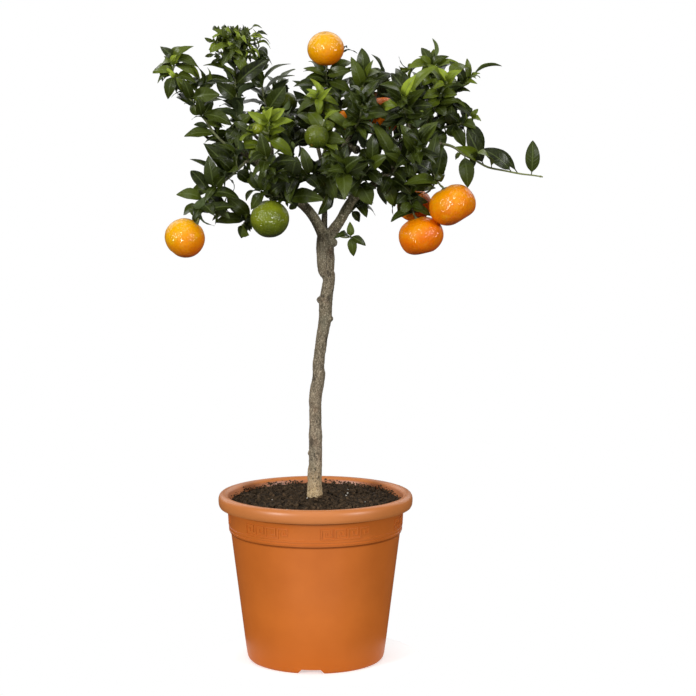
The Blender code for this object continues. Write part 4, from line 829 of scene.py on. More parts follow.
def ruled_leaf(owner, index, route, fill, draw, space):
    """A leaf set by the spiral rule, turned further round the stem until it is clear of the rest."""
    count, start, scale = fill
    share = start + (1.0 - start) * (index + 1) / count
    root, ahead = place_on(route, share)
    first = across(ahead, Vector((0.2, 0.3, 0.93)))
    second = ahead.cross(first)
    length = draw.uniform(*FREE_LEAF) * scale
    width = length * LEAF_SLIMNESS * draw.uniform(0.85, 1.1)
    lean = math.radians(draw.uniform(*LEAF_LEAN) - LEAN_LOST_AT_TIP * share)
    for attempt in range(TRIES):
        turn = index * TURN + attempt * TRY_TURN
        heading = spoke(ahead, spoke(first, second, turn), lean).normalized()
        heading = (heading + Vector((0, 0, LEAF_LIFT))).normalized()
        size = length * (1.0 - TRY_SHRINK * attempt)
        tip = root + heading * size
        normal = (ahead + Vector((0, -0.25, 0.5)) - heading * 0.4).normalized()
        if tip.z > CROWN_TOP or hides((tip, root.lerp(tip, 0.6)), SKY, WINDOWS):
            continue
        if space.fits(owner, (root, tip, width, normal)):
            return root, tip, width, normal
    return None


def plan_leaves():
    """Every leaf's root, tip, width and facing, by stem: those drawn first."""
    space = Space()
    for rows in LIMBS.values():
        space.add("wood", *tube_cage([Vector(row[:3]) for row in rows], [row[3] + 0.6 for row in rows]))
    space.add("wood", *tube_cage([Vector((x, 0, z)) for z, x, _ in TRUNK], [r + 1 for _, _, r in TRUNK]))
    for fruit in FRUITS:
        space.add(fruit.name, *ball_cage(Vector(fruit.centre), fruit.radius * 1.04))
        space.balls.append((Vector(fruit.centre), fruit.radius + 1.0))
        home = next(shoot for shoot in SHOOTS if shoot.name == fruit.stem)
        space.add(home.name, *tube_cage(stalk_route(fruit, home), [STALK_R] * 3))
    for shoot in SHOOTS:
        path = twig_route(shoot)
        space.add("wood", *tube_cage(path, [TWIG_R] * len(path)))
        path = stem_route(shoot)
        space.add(shoot.name, *tube_cage(path, stem_radii(path)))
    plan = {shoot.name: [] for shoot in SHOOTS}

    def keep(name, leaf):
        if leaf:
            plan[name].append(leaf)
            space.add(name, *blade_mesh(*leaf))

    for shoot in SHOOTS:
        for row in shoot.leaves:
            keep(shoot.name, drawn_leaf(shoot.name, row, stem_route(shoot), space))
    draw = random.Random(SEED)
    for shoot in SHOOTS:
        for index in range(shoot.fill[0]):
            keep(shoot.name, ruled_leaf(shoot.name, index, stem_route(shoot), shoot.fill, draw, space))
    return plan, space


# The photograph's camera: tilt down, turn and lens
EYE_TILT = 7.008
EYE_TURN = -0.851
EYE_LENS = 114.68

# Finer leaves: shares of the length, and the half width there over the widest, for a pointed leaf
# and a blunt one
OUTLINE_AT = (0.0, 0.08, 0.11, 0.17, 0.25, 0.36, 0.48, 0.6, 0.72, 0.83, 0.92, 0.97, 1.0)
POINTED = np.array((0.0, 0.0, 0.1, 0.45, 0.75, 0.95, 1.0, 0.95, 0.8, 0.55, 0.26, 0.11, 0.02))
BLUNT = np.array((0.0, 0.0, 0.07, 0.32, 0.6, 0.86, 0.98, 1.0, 0.95, 0.8, 0.52, 0.28, 0.04))
# Where a leaf's rows of points lie along and across it: full, and plain for the small ones
Grid = namedtuple("Grid", "along across faces")
FULL_ALONG = np.array((0.0, 0.06, 0.1, 0.14, 0.2, 0.28, 0.38, 0.49, 0.6, 0.71, 0.81, 0.9, 0.96, 1.0))
FULL_ACROSS = np.array((-1.0, -0.66, -0.3, 0.0, 0.3, 0.66, 1.0))
PLAIN_ALONG = np.array((0.0, 0.1, 0.16, 0.3, 0.48, 0.66, 0.82, 0.94, 1.0))
PLAIN_ACROSS = np.array((-1.0, -0.5, 0.0, 0.5, 1.0))
PLAIN_UNDER = 27.0
# Half a stalk's width, how much wider the finer blades are, and half the blade's and stalk's thickness
PETIOLE_HALF = 0.62
WIDER = 1.08
BLADE_HALF_THICK = 0.17
PETIOLE_HALF_THICK = 0.55

# How young the leaves are from the foot to the tip of each stem, 0 for full grown and 1 for new
YOUTH = {
    "left_tip": (0.0, 0.36), "left_crown": (0.0, 0.34), "left_rosette": (0.3, 0.9),
    "centre_green": (0.15, 0.7), "top_rosette": (0.15, 0.75), "right_rosette": (0.45, 1.0),
    "right_bright": (0.1, 0.75), "right_spray": (0.05, 0.55), "right_side": (0.0, 0.5),
    "far_right": (0.15, 0.42), "top_centre": (0.0, 0.45), "right_top": (0.0, 0.5),
}
OLD = (0.0, 0.1)
# Leaves added by rule on the first pass, beside those that the solids have
EXTRA = {
    "left_tip": 8, "left_crown": 14, "left_inner": 9, "left_rosette": 12, "left_low": 8,
    "left_under": 8, "left_front": 10, "centre_left": 14, "centre_green": 12, "top_fruit": 10,
    "top_rosette": 12, "top_centre": 14, "right_rosette": 12, "right_top": 18, "right_bright": 12,
    "right_spray": 16, "right_side": 14, "far_right": 0, "right_hang": 8, "right_drop": 10,
    "right_inner": 16, "low_centre": 16, "trunk_star": 0, "low_right": 4,
    "back_left": 14, "back_left_low": 12, "back_left_top": 14, "back_middle": 14,
    "back_middle_low": 12, "back_middle_top": 16, "back_right": 14, "back_right_low": 12,
    "back_right_top": 16, "front_left": 12, "front_middle": 14, "front_middle_top": 16,
    "front_right": 14, "front_right_top": 16,
}


def to_metres(points):
    """Places on the plant as an array in metres in the part's frame."""
    return (np.asarray(points, float).reshape(-1, 3) + np.array(ORIGIN_SHIFT)) * MM


def carry(mesh, label, rows):
    """Gives each point of a mesh three numbers under a name."""
    layer = mesh.attributes.new(label, "FLOAT_VECTOR", "POINT")
    layer.data.foreach_set("vector", np.asarray(rows).astype(np.float32).ravel())


class Batch:
    """Gathers closed shapes into one mesh. Each point carries a place on its shape and a tone."""

    def __init__(self):
        self.points, self.faces, self.marks, self.tones, self.slots = [], [], [], [], []
        self.count = 0

    def add(self, points, faces, marks=(0, 0, 0), tones=(0, 0, 0), slot=0):
        points = np.asarray(points, float).reshape(-1, 3)
        self.points.append(points)
        self.faces += [tuple(index + self.count for index in face) for face in faces]
        self.slots += [slot] * len(faces)
        self.marks.append(np.broadcast_to(np.asarray(marks, float), (len(points), 3)))
        self.tones.append(np.broadcast_to(np.asarray(tones, float), (len(points), 3)))
        self.count += len(points)

    def tube(self, route, radii, sides, marks=(0, 0, 0), tones=(0, 0, 0), slot=0):
        self.add(*tube_shape(route, radii, sides), marks, tones, slot)

    def build(self, name, materials, crease=70.0):
        mesh = bpy.data.meshes.new(name)
        mesh.from_pydata(to_metres(np.concatenate(self.points)).tolist(), [], self.faces)
        for material in materials:
            mesh.materials.append(material)
        mesh.polygons.foreach_set("material_index", self.slots)
        carry(mesh, "mark", np.concatenate(self.marks))
        carry(mesh, "tone", np.concatenate(self.tones))
        mesh.update()
        mesh.shade_smooth()
        mesh.set_sharp_from_angle(angle=math.radians(crease))
        return placed(name, mesh)


def smooth(points, pieces=4):
    """A rounded route through the points given."""
    rows = [Vector(p) for p in points]
    if len(rows) < 3:
        return [rows[0].lerp(rows[-1], k / pieces) for k in range(pieces + 1)]
    ends = [rows[0] * 2 - rows[1]] + rows + [rows[-1] * 2 - rows[-2]]
    out = []
    for a, b, c, d in zip(ends, ends[1:], ends[2:], ends[3:]):
        for k in range(pieces):
            t = k / pieces
            bend = (2 * b + (c - a) * t + (2 * a - 5 * b + 4 * c - d) * t * t)
            out.append(0.5 * (bend + (3 * b - a - 3 * c + d) * t * t * t))
    out.append(rows[-1])
    return out


def tube_shape(route, radii, sides):
    """Points and faces of a closed round tube, its frame carried along without twist."""
    heading = (route[1] - route[0]).normalized()
    first = across(heading, Vector((0.31, 0.87, 0.4)))
    points = []
    last = len(route) - 1
    for i, place in enumerate(route):
        heading = (route[min(i + 1, last)] - route[max(i - 1, 0)]).normalized()
        first = across(heading, first)
        second = heading.cross(first)
        points += [place + spoke(first, second, turn) * radii[i] for turn in turns(sides)]
    faces = []
    for i in range(last):
        for k in range(sides):
            j = (k + 1) % sides
            faces.append((i * sides + k, i * sides + j, (i + 1) * sides + j, (i + 1) * sides + k))
    faces.append(tuple(range(sides - 1, -1, -1)))
    faces.append(tuple(range(last * sides, last * sides + sides)))
    return np.array(points), faces


def steps(count):
    return [i / (count - 1) for i in range(count)]


def tapered(count, start, end):
    return [start + (end - start) * share for share in steps(count)]


def smooth_tube(places, radii, sides):
    """A tube along a rounded route, its radius rounded off with it."""
    sizes = [p.x for p in smooth([Vector((r, 0, 0)) for r in radii], 5)]
    return tube_shape(smooth(places, 5), sizes, sides)


Look = namedtuple("Look", "youth fold wave curl twist blunt seed shade")


def leaf_faces(along, across):
    """Faces of the closed blade: upper side, under side, two edges and two ends."""
    rows, width = len(along), len(across)
    under = rows * width
    faces = []
    for i in range(rows - 1):
        for j in range(width - 1):
            a, b = i * width + j, (i + 1) * width + j
            faces.append((a, b, b + 1, a + 1))
            faces.append((under + a, under + a + 1, under + b + 1, under + b))
        left, ahead = i * width, (i + 1) * width
        faces.append((left, under + left, under + ahead, ahead))
        left, ahead = left + width - 1, ahead + width - 1
        faces.append((left, ahead, under + ahead, under + left))
    for j in range(width - 1):
        faces.append((j, j + 1, under + j + 1, under + j))
        end = (rows - 1) * width + j
        faces.append((end, under + end, under + end + 1, end + 1))
    return faces


FULL = Grid(FULL_ALONG, FULL_ACROSS, leaf_faces(FULL_ALONG, FULL_ACROSS))
PLAIN = Grid(PLAIN_ALONG, PLAIN_ACROSS, leaf_faces(PLAIN_ALONG, PLAIN_ACROSS))


# Along a leaf: where its stalk ends, how soon the blade is open, and where it starts to curl
STALK_SHARE = 0.08
OPENS_IN = 0.07
CURLS_FROM = 0.35
# Depth of the groove over the midrib, height of the rib below, and how the edge waves
GROOVE_DEEP = 0.12
RIB_HIGH = 0.3
EDGE_WAVES = 15
EDGE_SHIFT = 1.3


def leaf_points(root, tip, width, normal, look, grid):
    """Points of a leaf: a round stalk that opens into a folded, arched and slightly waved blade."""
    along = tip - root
    length = along.length
    along = along.normalized()
    up = across(along, normal)
    side = along.cross(up)
    share = grid.along[:, None]
    spread = grid.across[None, :]
    outline = np.interp(share, OUTLINE_AT, POINTED + (BLUNT - POINTED) * look.blunt) * width / 2
    half = np.where(share > 0.9, outline + 0.05, np.maximum(outline, PETIOLE_HALF))
    blade = np.clip((share - STALK_SHARE) / OPENS_IN, 0.0, 1.0)
    turn = look.twist * share
    rise = BLADE_ARCH * length * 4 * share * (1 - share)
    rise = rise - look.curl * length * np.maximum(share - CURLS_FROM, 0) ** 2
    edge = np.abs(spread)
    lift = look.fold * edge * half * blade
    phase = look.seed * 6.28
    ripple = np.sin(share * EDGE_WAVES + phase + np.sign(spread) * EDGE_SHIFT)
    lift = lift + look.wave * blade * edge ** 2 * ripple
    reach = spread * half * math.cos(math.atan(look.fold))
    thick = PETIOLE_HALF_THICK + (BLADE_HALF_THICK - PETIOLE_HALF_THICK) * blade
    thick = thick * np.clip((1.02 - share) * 12, 0.3, 1.0)
    thick = thick * np.where(blade < 1, np.sqrt(np.maximum(1 - edge ** 2 * (1 - blade) * 0.75, 0)), 1.0)
    groove = GROOVE_DEEP * blade * (edge < 0.01)
    rib = RIB_HIGH * blade * (edge < 0.01) * (1 - share)
    lateral = reach * np.cos(turn) - lift * np.sin(turn)
    height = rise + lift * np.cos(turn) + reach * np.sin(turn)
    forward = share * length - np.maximum(rise, 0) * 0.05
    root, along, side, up = (np.array(v) for v in (root, along, side, up))
    middle = root[None, None, :] + forward[..., None] * along + lateral[..., None] * side
    top = middle + (height + thick - groove)[..., None] * up
    bottom = middle + (height - thick - rib)[..., None] * up
    points = np.concatenate([top.reshape(-1, 3), bottom.reshape(-1, 3)])
    place = np.stack([spread + 0 * share, share + 0 * spread, look.seed + 0 * share * spread], -1)
    marks = np.concatenate([place.reshape(-1, 3)] * 2)
    tones = np.zeros((len(points), 3))
    tones[:, 0] = look.youth
    tones[len(points) // 2:, 1] = 1.0
    tones[:, 2] = look.shade
    return points, marks, tones


# Stems whose head is a tangle of small curled shoots: where it begins, its leaves' length, how many
# stand on a shoot and how wide they are for their length
HEADS = {"left_crown": 0.74}
HEAD_LEAF = (10.0, 17.0)
HEAD_LEAVES = 7
HEAD_WIDTH = 0.42
# Stems whose end leaves are small and curled
CURLED = ("left_crown", "left_tip", "right_bright")
CURLED_FROM = 0.75
SMALL_LEAF = 24.0
HEAD_BRIGHT = 0.4
# Leaves of known look: their tip's X and Z, youth, and how light or dark the leaf is painted, as painted
# light and shade
TIP_LOOKS = (
    (92, 725, 0.0, 0.1), (99, 734, 0.02, 0.3), (135, 731, 0.45, 0.5), (195, 630, 0.42, 0.5),
    (131, 752, 0.1, 0.5), (156, 745, 0.1, 0.6), (183, 656, 0.0, 0.1), (204, 633, 0.0, 0.2),
    (206, 637, 0.0, 0.2), (-58, 740, 0.0, 0.0), (-55, 743, 0.0, 0.1), (-59, 751, 0.0, 0.1),
    (169, 637, 0.4, 0.5), (196, 619, 0.42, 0.5), (56, 752, 0.0, 0.6),
    (-180, 754, 0.1, 0.3), (-175, 696, 0.15, 0.5), (-145, 719, 0.2, 0.2), (-140, 736, 0.2, 0.6),
    (-138, 692, 0.12, 0.2), (-115, 699, 0.2, 0.5), (-150, 710, 0.1, 0.4), (263, 642, 0.12, 0.4),
    (115, 717, 0.95, 0.8), (112, 704, 0.8, 0.8), (118, 709, 1.0, 0.9), (117, 712, 1.0, 0.9),
    (111, 710, 1.0, 0.9), (108, 707, 0.9, 0.8), (-8, 679, 0.3, 0.6), (-21, 676, 0.2, 0.4),
    (32, 646, 0.25, 0.5), (31, 628, 0.15, 0.5), (15, 665, 0.45, 0.6),
    (182, 738, 0.3, 0.5), (165, 737, 0.05, 0.3), (-97, 665, 0.15, 0.4),
    (-161, 748, 0.9, 0.8), (-155, 746, 0.8, 0.8), (-172, 727, 0.85, 0.8), (-166, 744, 0.9, 0.7),
    (35, 643, 0.0, 0.15), (48, 634, 0.0, 0.15), (28, 654, 0.0, 0.15), (64, 642, 0.0, 0.15),
)
TIP_NEAR = 4.0
# Leaves that show their edge to the front, by their tip's X and Z
EDGE_ON = ((226, 732), (144, 764), (72, 747), (-18, 705), (-28, 714))


def look_for(shoot_name, share, draw, tip, length):
    """How a leaf of a stem is coloured and curled."""
    low, high = YOUTH.get(shoot_name, OLD)
    youth = low + (high - low) * share ** 1.6
    youth = min(1.0, max(0.0, youth + draw.uniform(-0.12, 0.12)))
    if shoot_name in HEADS and length < HEAD_LEAF[1] and share > 0.7:
        youth = draw.uniform(0.45, 0.8) if draw.random() < HEAD_BRIGHT else draw.uniform(0.0, 0.25)
    # A random tone from dark to light; the leaves of known look take theirs as painted light and shade
    shade = draw.random()
    for x, z, known_youth, known_painted_shade in TIP_LOOKS:
        if math.hypot(tip.x - x, tip.z - z) < TIP_NEAR:
            youth, shade = known_youth, known_painted_shade
    curl = draw.uniform(0.1, 0.6) + (0.5 if length < SMALL_LEAF else 0.0)
    if shoot_name in CURLED and share > CURLED_FROM:
        curl += draw.uniform(0.0, 0.9)
    return Look(
        youth, draw.uniform(0.06, 0.3) + 0.25 * youth, draw.uniform(0.1, 0.75), curl,
        math.radians(draw.uniform(-22, 22)), draw.uniform(0.0, 0.7), draw.random(), shade,
    )


# Leaves that stand out beside the solids' own, in the rows of the drawn ones
MORE_LEAVES = {
    "left_tip": (
        (0.95, -161, -46, 748, 6, 20), (0.95, -155, -46, 745, 7, 25), (0.84, -172, -47, 726, 6, 20),
        (0.95, -166, -46, 744, 7, 30), (0.89, -188, -38, 729, 10, 30), (0.91, -186, -28, 736, 9, 40),
        (0.86, -187, -27, 722, 10, 30), (0.61, -164, -30, 700, 12, 60), (0.88, -189, -27, 718, 9, 50),
        (0.71, -137, -30, 717, 12, 60), (0.4, -122, -48, 690, 11, 30), (0.29, -109, -27, 663, 10, 75),
        (0.95, -178, -24, 748, 13, 50), (0.99, -149, -25, 745, 11, 40), (0.89, -185, -24, 726, 17, 60),
        (0.76, -171, -28, 700, 11, 30), (0.71, -143, -52, 701, 13, 30), (0.49, -128, -28, 696, 13, 40),
        (0.52, -122, -42, 705, 13, 30),
    ),
    "left_crown": (
        (0.9, -80, -14, 774, 10, 20), (0.94, -92, -12, 784, 9, 15), (0.92, -114, -12, 774, 10, 20),
        (0.88, -123, -14, 750, 11, 25), (0.88, -78, -16, 762, 10, 20), (0.85, -87, -14, 738, 12, 25),
        (0.87, -109, -12, 738, 12, 20), (0.88, -68, -14, 750, 11, 25), (0.92, -105, 10, 779, 10, 30),
        (0.92, -83, 10, 777, 11, 30), (0.9, -129, 12, 755, 13, 40), (0.88, -64, 12, 770, 11, 40),
        (0.8, -83, -10, 729, 13, 30), (0.73, -76, -12, 722, 13, 30), (0.14, -107, -25, 643, 15, 25),
        (0.09, -109, -21, 648, 13, 40), (0.05, -104, -28, 640, 9, 50),
    ),
    "left_rosette": (
        (0.27, -39, -42, 648, 13, 30), (0.54, -39, -47, 658, 13, 30), (0.14, -78, -44, 625, 15, 25),
        (0.22, -63, -47, 651, 11, 15), (0.74, -68, -54, 672, 11, 10), (0.68, -70, -53, 656, 14, 30),
        (0.44, -72, -51, 641, 13, 25), (0.95, -51, -51, 682, 10, 10), (0.95, -46, -59, 675, 11, 15),
    ),
    "left_low": (
        (0.13, -132, -42, 640, 13, 40), (0.49, -108, -54, 601, 13, 30), (0.66, -116, -54, 566, 13, 30),
        (0.81, -120, -58, 556, 14, 30), (0.93, -149, -56, 566, 11, 30), (1.0, -147, -66, 560, 8, 20),
        (0.35, -120, -53, 601, 14, 30), (0.18, -111, -51, 632, 14, 20), (0.15, -78, -46, 594, 16, 25),
        (0.3, -92, -54, 611, 15, 25),
    ),
    "left_inner": (
        (0.36, -45, 3, 657, 15, 30), (0.28, -71, 1, 669, 14, 30), (0.2, -38, -3, 635, 16, 25),
        (0.28, -28, 13, 676, 17, 50), (0.59, -52, 4, 703, 14, 30), (0.83, -71, 4, 727, 10, 30),
        (0.93, -57, 17, 736, 9, 40),
    ),
    "left_front": (
        (0.29, -47, -50, 584, 16, 25), (0.77, -42, -64, 592, 15, 20), (0.23, -18, -46, 584, 16, 25),
    ),
    "centre_left": (
        (0.1, 34, -36, 618, 15, 45), (0.19, 4, -40, 622, 14, 30), (0.37, 35, -49, 599, 15, 45),
        (0.47, 13, -50, 589, 14, 30), (0.03, 30, -37, 584, 12, 20), (0.0, 18, -34, 571, 17, 20),
        (0.0, 30, -40, 577, 9, 15), (0.89, -32, -65, 585, 14, 20), (0.71, 4, -61, 593, 13, 40),
    ),
    "centre_green": (
        (0.22, 8, -54, 615, 13, 35), (0.39, 36, -63, 618, 14, 30), (0.74, 25, -82, 635, 12, 20),
        (0.89, 1, -77, 666, 13, 15),
    ),
    "top_fruit": (
        (0.85, -11, -17, 730, 8, 30), (0.81, -7, -4, 740, 8, 40), (0.93, 42, 24, 771, 9, 50),
        (0.85, 44, 19, 759, 11, 40), (0.61, 30, -19, 698, 13, 30), (0.43, 33, -13, 710, 12, 35),
        (0.53, -3, -14, 693, 13, 35), (0.77, -1, 1, 736, 11, 50), (0.92, -3, -4, 731, 12, 60),
    ),
    "top_rosette": (
        (0.21, 36, -49, 651, 13, 30), (0.45, 44, -59, 658, 12, 20), (0.23, 32, -54, 663, 13, 30),
        (0.66, -11, -56, 691, 11, 25), (0.89, 4, -62, 679, 10, 10), (0.29, 23, -47, 672, 11, 30),
        (0.89, 16, -60, 703, 8, 20), (0.59, -6, -55, 672, 12, 20), (0.93, -8, -59, 699, 10, 30),
        (0.48, 23, -55, 682, 10, 30),
    ),
    "top_centre": (
        (0.0, 35, -23, 643, 15, 30), (0.0, 48, -17, 634, 14, 30), (0.0, 28, -23, 654, 13, 20),
        (0.0, 64, -23, 642, 14, 30), (0.15, 40, -57, 664, 11, 30), (0.0, 88, -21, 676, 13, 30),
        (0.0, 92, -19, 667, 15, 35), (0.21, 35, -22, 686, 13, 35), (0.38, 44, -30, 717, 14, 20),
        (0.66, 66, -33, 696, 14, 30), (0.91, 69, -33, 738, 6, 30), (0.91, 63, -19, 736, 9, 40),
        (0.1, 61, -21, 681, 14, 30), (0.23, 76, -22, 686, 16, 40),
    ),
    "right_rosette": (
        (0.34, 76, -14, 682, 14, 30), (0.81, 125, -39, 700, 11, 25), (0.83, 105, -21, 710, 10, 30),
        (0.69, 122, -41, 690, 6, 30), (0.39, 102, -32, 679, 13, 30), (0.31, 126, -30, 681, 13, 30),
        (0.88, 113, -24, 710, 8, 30),
    ),
    "right_top": (
        (0.7, 129, -3, 710, 11, 30), (0.61, 156, -1, 717, 11, 30), (0.29, 152, 0, 683, 13, 30),
        (0.21, 120, -1, 686, 13, 30), (0.54, 134, -2, 717, 11, 25), (0.95, 127, -2, 743, 10, 30),
        (0.92, 128, -5, 722, 11, 25), (0.14, 139, -3, 669, 13, 25),
    ),
    "right_bright": (
        (0.42, 136, -25, 684, 13, 25), (0.21, 158, -23, 674, 13, 25), (0.8, 148, -27, 712, 11, 25),
        (0.92, 166, -30, 719, 10, 30), (0.12, 131, -22, 672, 13, 25), (0.52, 167, -24, 700, 13, 30),
    ),
    "right_spray": (
        (0.41, 154, -5, 683, 13, 25), (0.25, 171, -2, 676, 14, 30), (0.06, 161, -2, 664, 13, 25),
        (0.49, 158, -6, 705, 11, 25),
    ),
    "right_side": (
        (0.15, 146, -14, 667, 15, 25), (0.24, 170, -17, 648, 15, 25), (0.57, 163, -17, 674, 13, 30),
        (0.66, 194, -16, 659, 13, 35), (0.44, 177, -16, 672, 13, 30), (0.06, 139, -15, 647, 15, 25),
        (0.61, 190, -11, 652, 13, 30),
    ),
    "far_right": (
        (0.01, 145, -34, 594, 17, 20), (0.35, 170, -36, 636, 14, 20), (0.65, 198, -34, 618, 12, 25),
        (0.27, 195, -10, 606, 9, 40),
    ),
    "right_hang": (
        (0.96, 111, -60, 598, 17, 40), (0.12, 133, -33, 600, 15, 25), (0.45, 127, -23, 592, 15, 25),
        (0.3, 142, -40, 622, 15, 25), (0.06, 112, -32, 605, 15, 25),
    ),
    "right_drop": (
        (0.03, 98, -25, 583, 15, 25), (0.15, 117, -29, 581, 13, 25), (0.46, 100, -34, 571, 13, 25),
        (0.65, 104, -38, 557, 12, 25), (0.1, 91, -8, 599, 14, 30), (0.73, 126, -41, 565, 11, 30),
    ),
    "right_inner": (
        (0.88, 70, -61, 664, 15, 25), (0.94, 79, -68, 661, 13, 25), (0.45, 80, -48, 584, 15, 25),
        (0.7, 106, -58, 597, 15, 25), (0.92, 86, -68, 630, 15, 20),
    ),
    "low_centre": (
        (1.0, 69, -60, 651, 14, 20), (1.0, 76, -58, 645, 14, 30), (0.89, 56, -60, 625, 16, 25),
        (0.61, 73, -51, 599, 15, 30), (0.37, 42, -46, 589, 15, 25), (0.14, 47, -38, 576, 14, 20),
        (1.0, 82, -60, 625, 15, 30), (0.46, 44, -50, 610, 15, 25), (0.96, 56, -59, 635, 15, 20),
    ),
}
# Short side shoots: the stem they leave, its share there, their end, and leaves as in fill
SIDE_SHOOTS = (
    ("back_left", 0.05, (-66, 66, 675), (8, 0.3, 0.9)),
    ("back_left_low", 0.05, (-98, 60, 628), (8, 0.3, 0.9)),
    ("back_left_top", 0.05, (-36, 70, 675), (8, 0.3, 0.9)),
    ("back_middle", 0.05, (4, 62, 675), (8, 0.3, 0.9)),
    ("back_middle_low", 0.05, (19, 56, 641), (8, 0.3, 0.9)),
    ("back_middle_top", 0.05, (39, 66, 690), (8, 0.3, 0.9)),
    ("back_right", 0.05, (101, 62, 665), (8, 0.3, 0.9)),
    ("back_right_low", 0.05, (120, 52, 633), (8, 0.3, 0.9)),
    ("back_right_top", 0.05, (71, 72, 700), (8, 0.3, 0.9)),
    ("back_left", 0.3, (-89, 90, 655), (7, 0.3, 0.9)), ("back_middle", 0.3, (-19, 84, 655), (7, 0.3, 0.9)),
    ("back_right", 0.3, (141, 84, 675), (7, 0.3, 0.9)), ("left_inner", 0.45, (-38, 8, 659), (7, 0.3, 0.8)),
    ("left_inner", 0.3, (-30, 0, 642), (7, 0.3, 0.8)), ("left_inner", 0.5, (-22, -6, 662), (6, 0.3, 0.7)),
    ("centre_left", 0.6, (-32, -16, 643), (7, 0.4, 0.75)),
    ("left_rosette", 0.1, (-39, -34, 629), (6, 0.3, 0.75)),
    ("top_rosette", 0.1, (25, -12, 671), (5, 0.3, 0.6)),
    ("low_centre", 0.9, (61, -30, 631), (7, 0.3, 0.85)), ("top_centre", 0.1, (55, -6, 667), (7, 0.3, 0.8)),
    ("top_centre", 0.05, (72, 6, 657), (7, 0.3, 0.85)),
    ("right_inner", 0.9, (85, -46, 634), (7, 0.3, 0.85)),
    ("right_inner", 1.0, (80, -34, 650), (7, 0.3, 0.85)),
    ("right_rosette", 0.2, (96, -4, 666), (7, 0.3, 0.8)),
    ("right_top", 0.1, (128, 6, 669), (6, 0.3, 0.75)),
    ("right_bright", 0.1, (132, -12, 662), (6, 0.3, 0.75)),
    ("right_spray", 0.1, (152, 8, 661), (6, 0.3, 0.75)),
    ("right_spray", 0.3, (159, 2, 674), (6, 0.3, 0.75)),
    ("right_side", 0.15, (156, -6, 645), (6, 0.3, 0.75)),
    ("low_centre", 0.4, (44, -32, 600), (7, 0.3, 0.85)),
    ("centre_left", 0.15, (19, -26, 578), (7, 0.4, 0.8)),
    ("left_tip", 0.55, (-132, -34, 708), (6, 0.4, 0.75)),
    ("left_crown", 0.2, (-104, -16, 650), (6, 0.4, 0.8)),
    ("left_under", 0.3, (-105, -14, 556), (6, 0.4, 0.8)),
    ("left_low", 0.8, (-123, -44, 558), (6, 0.4, 0.75)), ("top_fruit", 0.6, (33, 10, 748), (5, 0.5, 0.6)),
    ("right_top", 0.95, (115, 6, 727), (5, 0.5, 0.6)), ("right_inner", 0.4, (97, -30, 588), (6, 0.3, 0.8)),
    ("right_drop", 0.1, (117, -12, 604), (6, 0.3, 0.8)),
    ("centre_green", 0.1, (45, -20, 643), (6, 0.3, 0.8)),
    ("right_rosette", 0.5, (105, -16, 686), (6, 0.3, 0.65)),
    ("top_centre", 0.4, (66, -10, 691), (6, 0.3, 0.8)),
    ("left_rosette", 0.5, (-73, -36, 651), (6, 0.3, 0.7)),
    ("left_low", 0.12, (-92, -40, 629), (6, 0.3, 0.8)),
    ("left_front", 0.4, (-42, -46, 598), (6, 0.3, 0.8)),
    ("left_front", 0.15, (-30, -30, 583), (5, 0.3, 0.8)),
)

# How many leaves the rule adds on each pass along a stem, where they start and how long they are
PASSES = ((1.0, 0.06, 0.95), (1.0, 0.03, 0.72), (0.8, 0.05, 0.55))
SIDE_STEM_R = 1.0
SIDE_STEM_TIP_R = 0.6
CLOSE_GAP = 0.25
# How much slimmer an added leaf may be, and how far it may roll about its own length (degrees)
SLIMMER = (0.62, 0.98)
ROLL = 62.0
# Gaps that the finer leaves leave open: X, Z and radius at the pot's axis
FINE_SKY = (
    (-107, 727, 7), (-76, 693, 10), (-87, 681, 6), (-36, 724, 5), (-6, 709, 11), (76, 739, 8), (182, 699, 8),
    (195, 657, 7), (-109, 660, 7), (-62, 634, 7), (-64, 619, 7), (-88, 598, 8),
    (-83, 575, 7), (-9, 594, 8), (-77, 529, 7), (52, 554, 7), (170, 721, 5), (207, 734, 7), (-61, 715, 6),
    (-68, 759, 5), (95, 706, 5), (162, 628, 6), (162, 612, 6), (134, 596, 5), (89, 594, 5),
    (36, 533, 5), (85, 576, 5), (-113, 582, 5), (-106, 561, 5),
    (164, 603, 9), (-113, 604, 5), (-107, 590, 5), (-11, 705, 9), (-48, 705, 5),
    (103, 604, 6), (118, 597, 5), (137, 611, 5), (144, 628, 5), (145, 606, 4), (73, 598, 4),
)
# Limb and old wood that show between the leaves in front of them
FINE_WINDOWS = ((39, 630, 7), (39, 612, 6), (40, 594, 6), (45, 638, 6), (80, 692, 8), (79, 594, 5),
                (86, 600, 5), (97, 610, 5), (108, 617, 4))
# The ends of the solids to the left and right
LEFT_END = -192.0
RIGHT_END = 275.0


class CloseSpace(Space):
    """The space test with the narrow gaps that thin leaves allow."""

    def fits(self, _, leaf):
        return self.off_fruit(leaf) and self.free(*blade_mesh(*leaf, CLOSE_GAP, GUARD_START))


def nearest_share(shoot, point):
    """How far along a stem a leaf grows."""
    route = stem_route(shoot)
    total = sum((b - a).length for a, b in zip(route, route[1:]))
    best, gone, share = 1e9, 0.0, 0.0
    for a, b in zip(route, route[1:]):
        length = (b - a).length
        t = min(1.0, max(0.0, (point - a).dot(b - a) / length ** 2))
        apart = (a.lerp(b, t) - point).length
        if apart < best:
            best, share = apart, (gone + t * length) / total
        gone += length
    return share


def side_route(shoot, share, end):
    """A thin side shoot: out of its stem and gently bent to its end."""
    start, ahead = place_on(stem_route(shoot), share)
    end = Vector(end)
    middle = start.lerp(end, 0.5) + ahead * (end - start).length * 0.12
    return [start, middle, end]


def inside_box(tip):
    """Whether a leaf's tip stays within the box of the solids."""
    return tip.z < CROWN_TOP - 1 and LEFT_END < tip.x < RIGHT_END


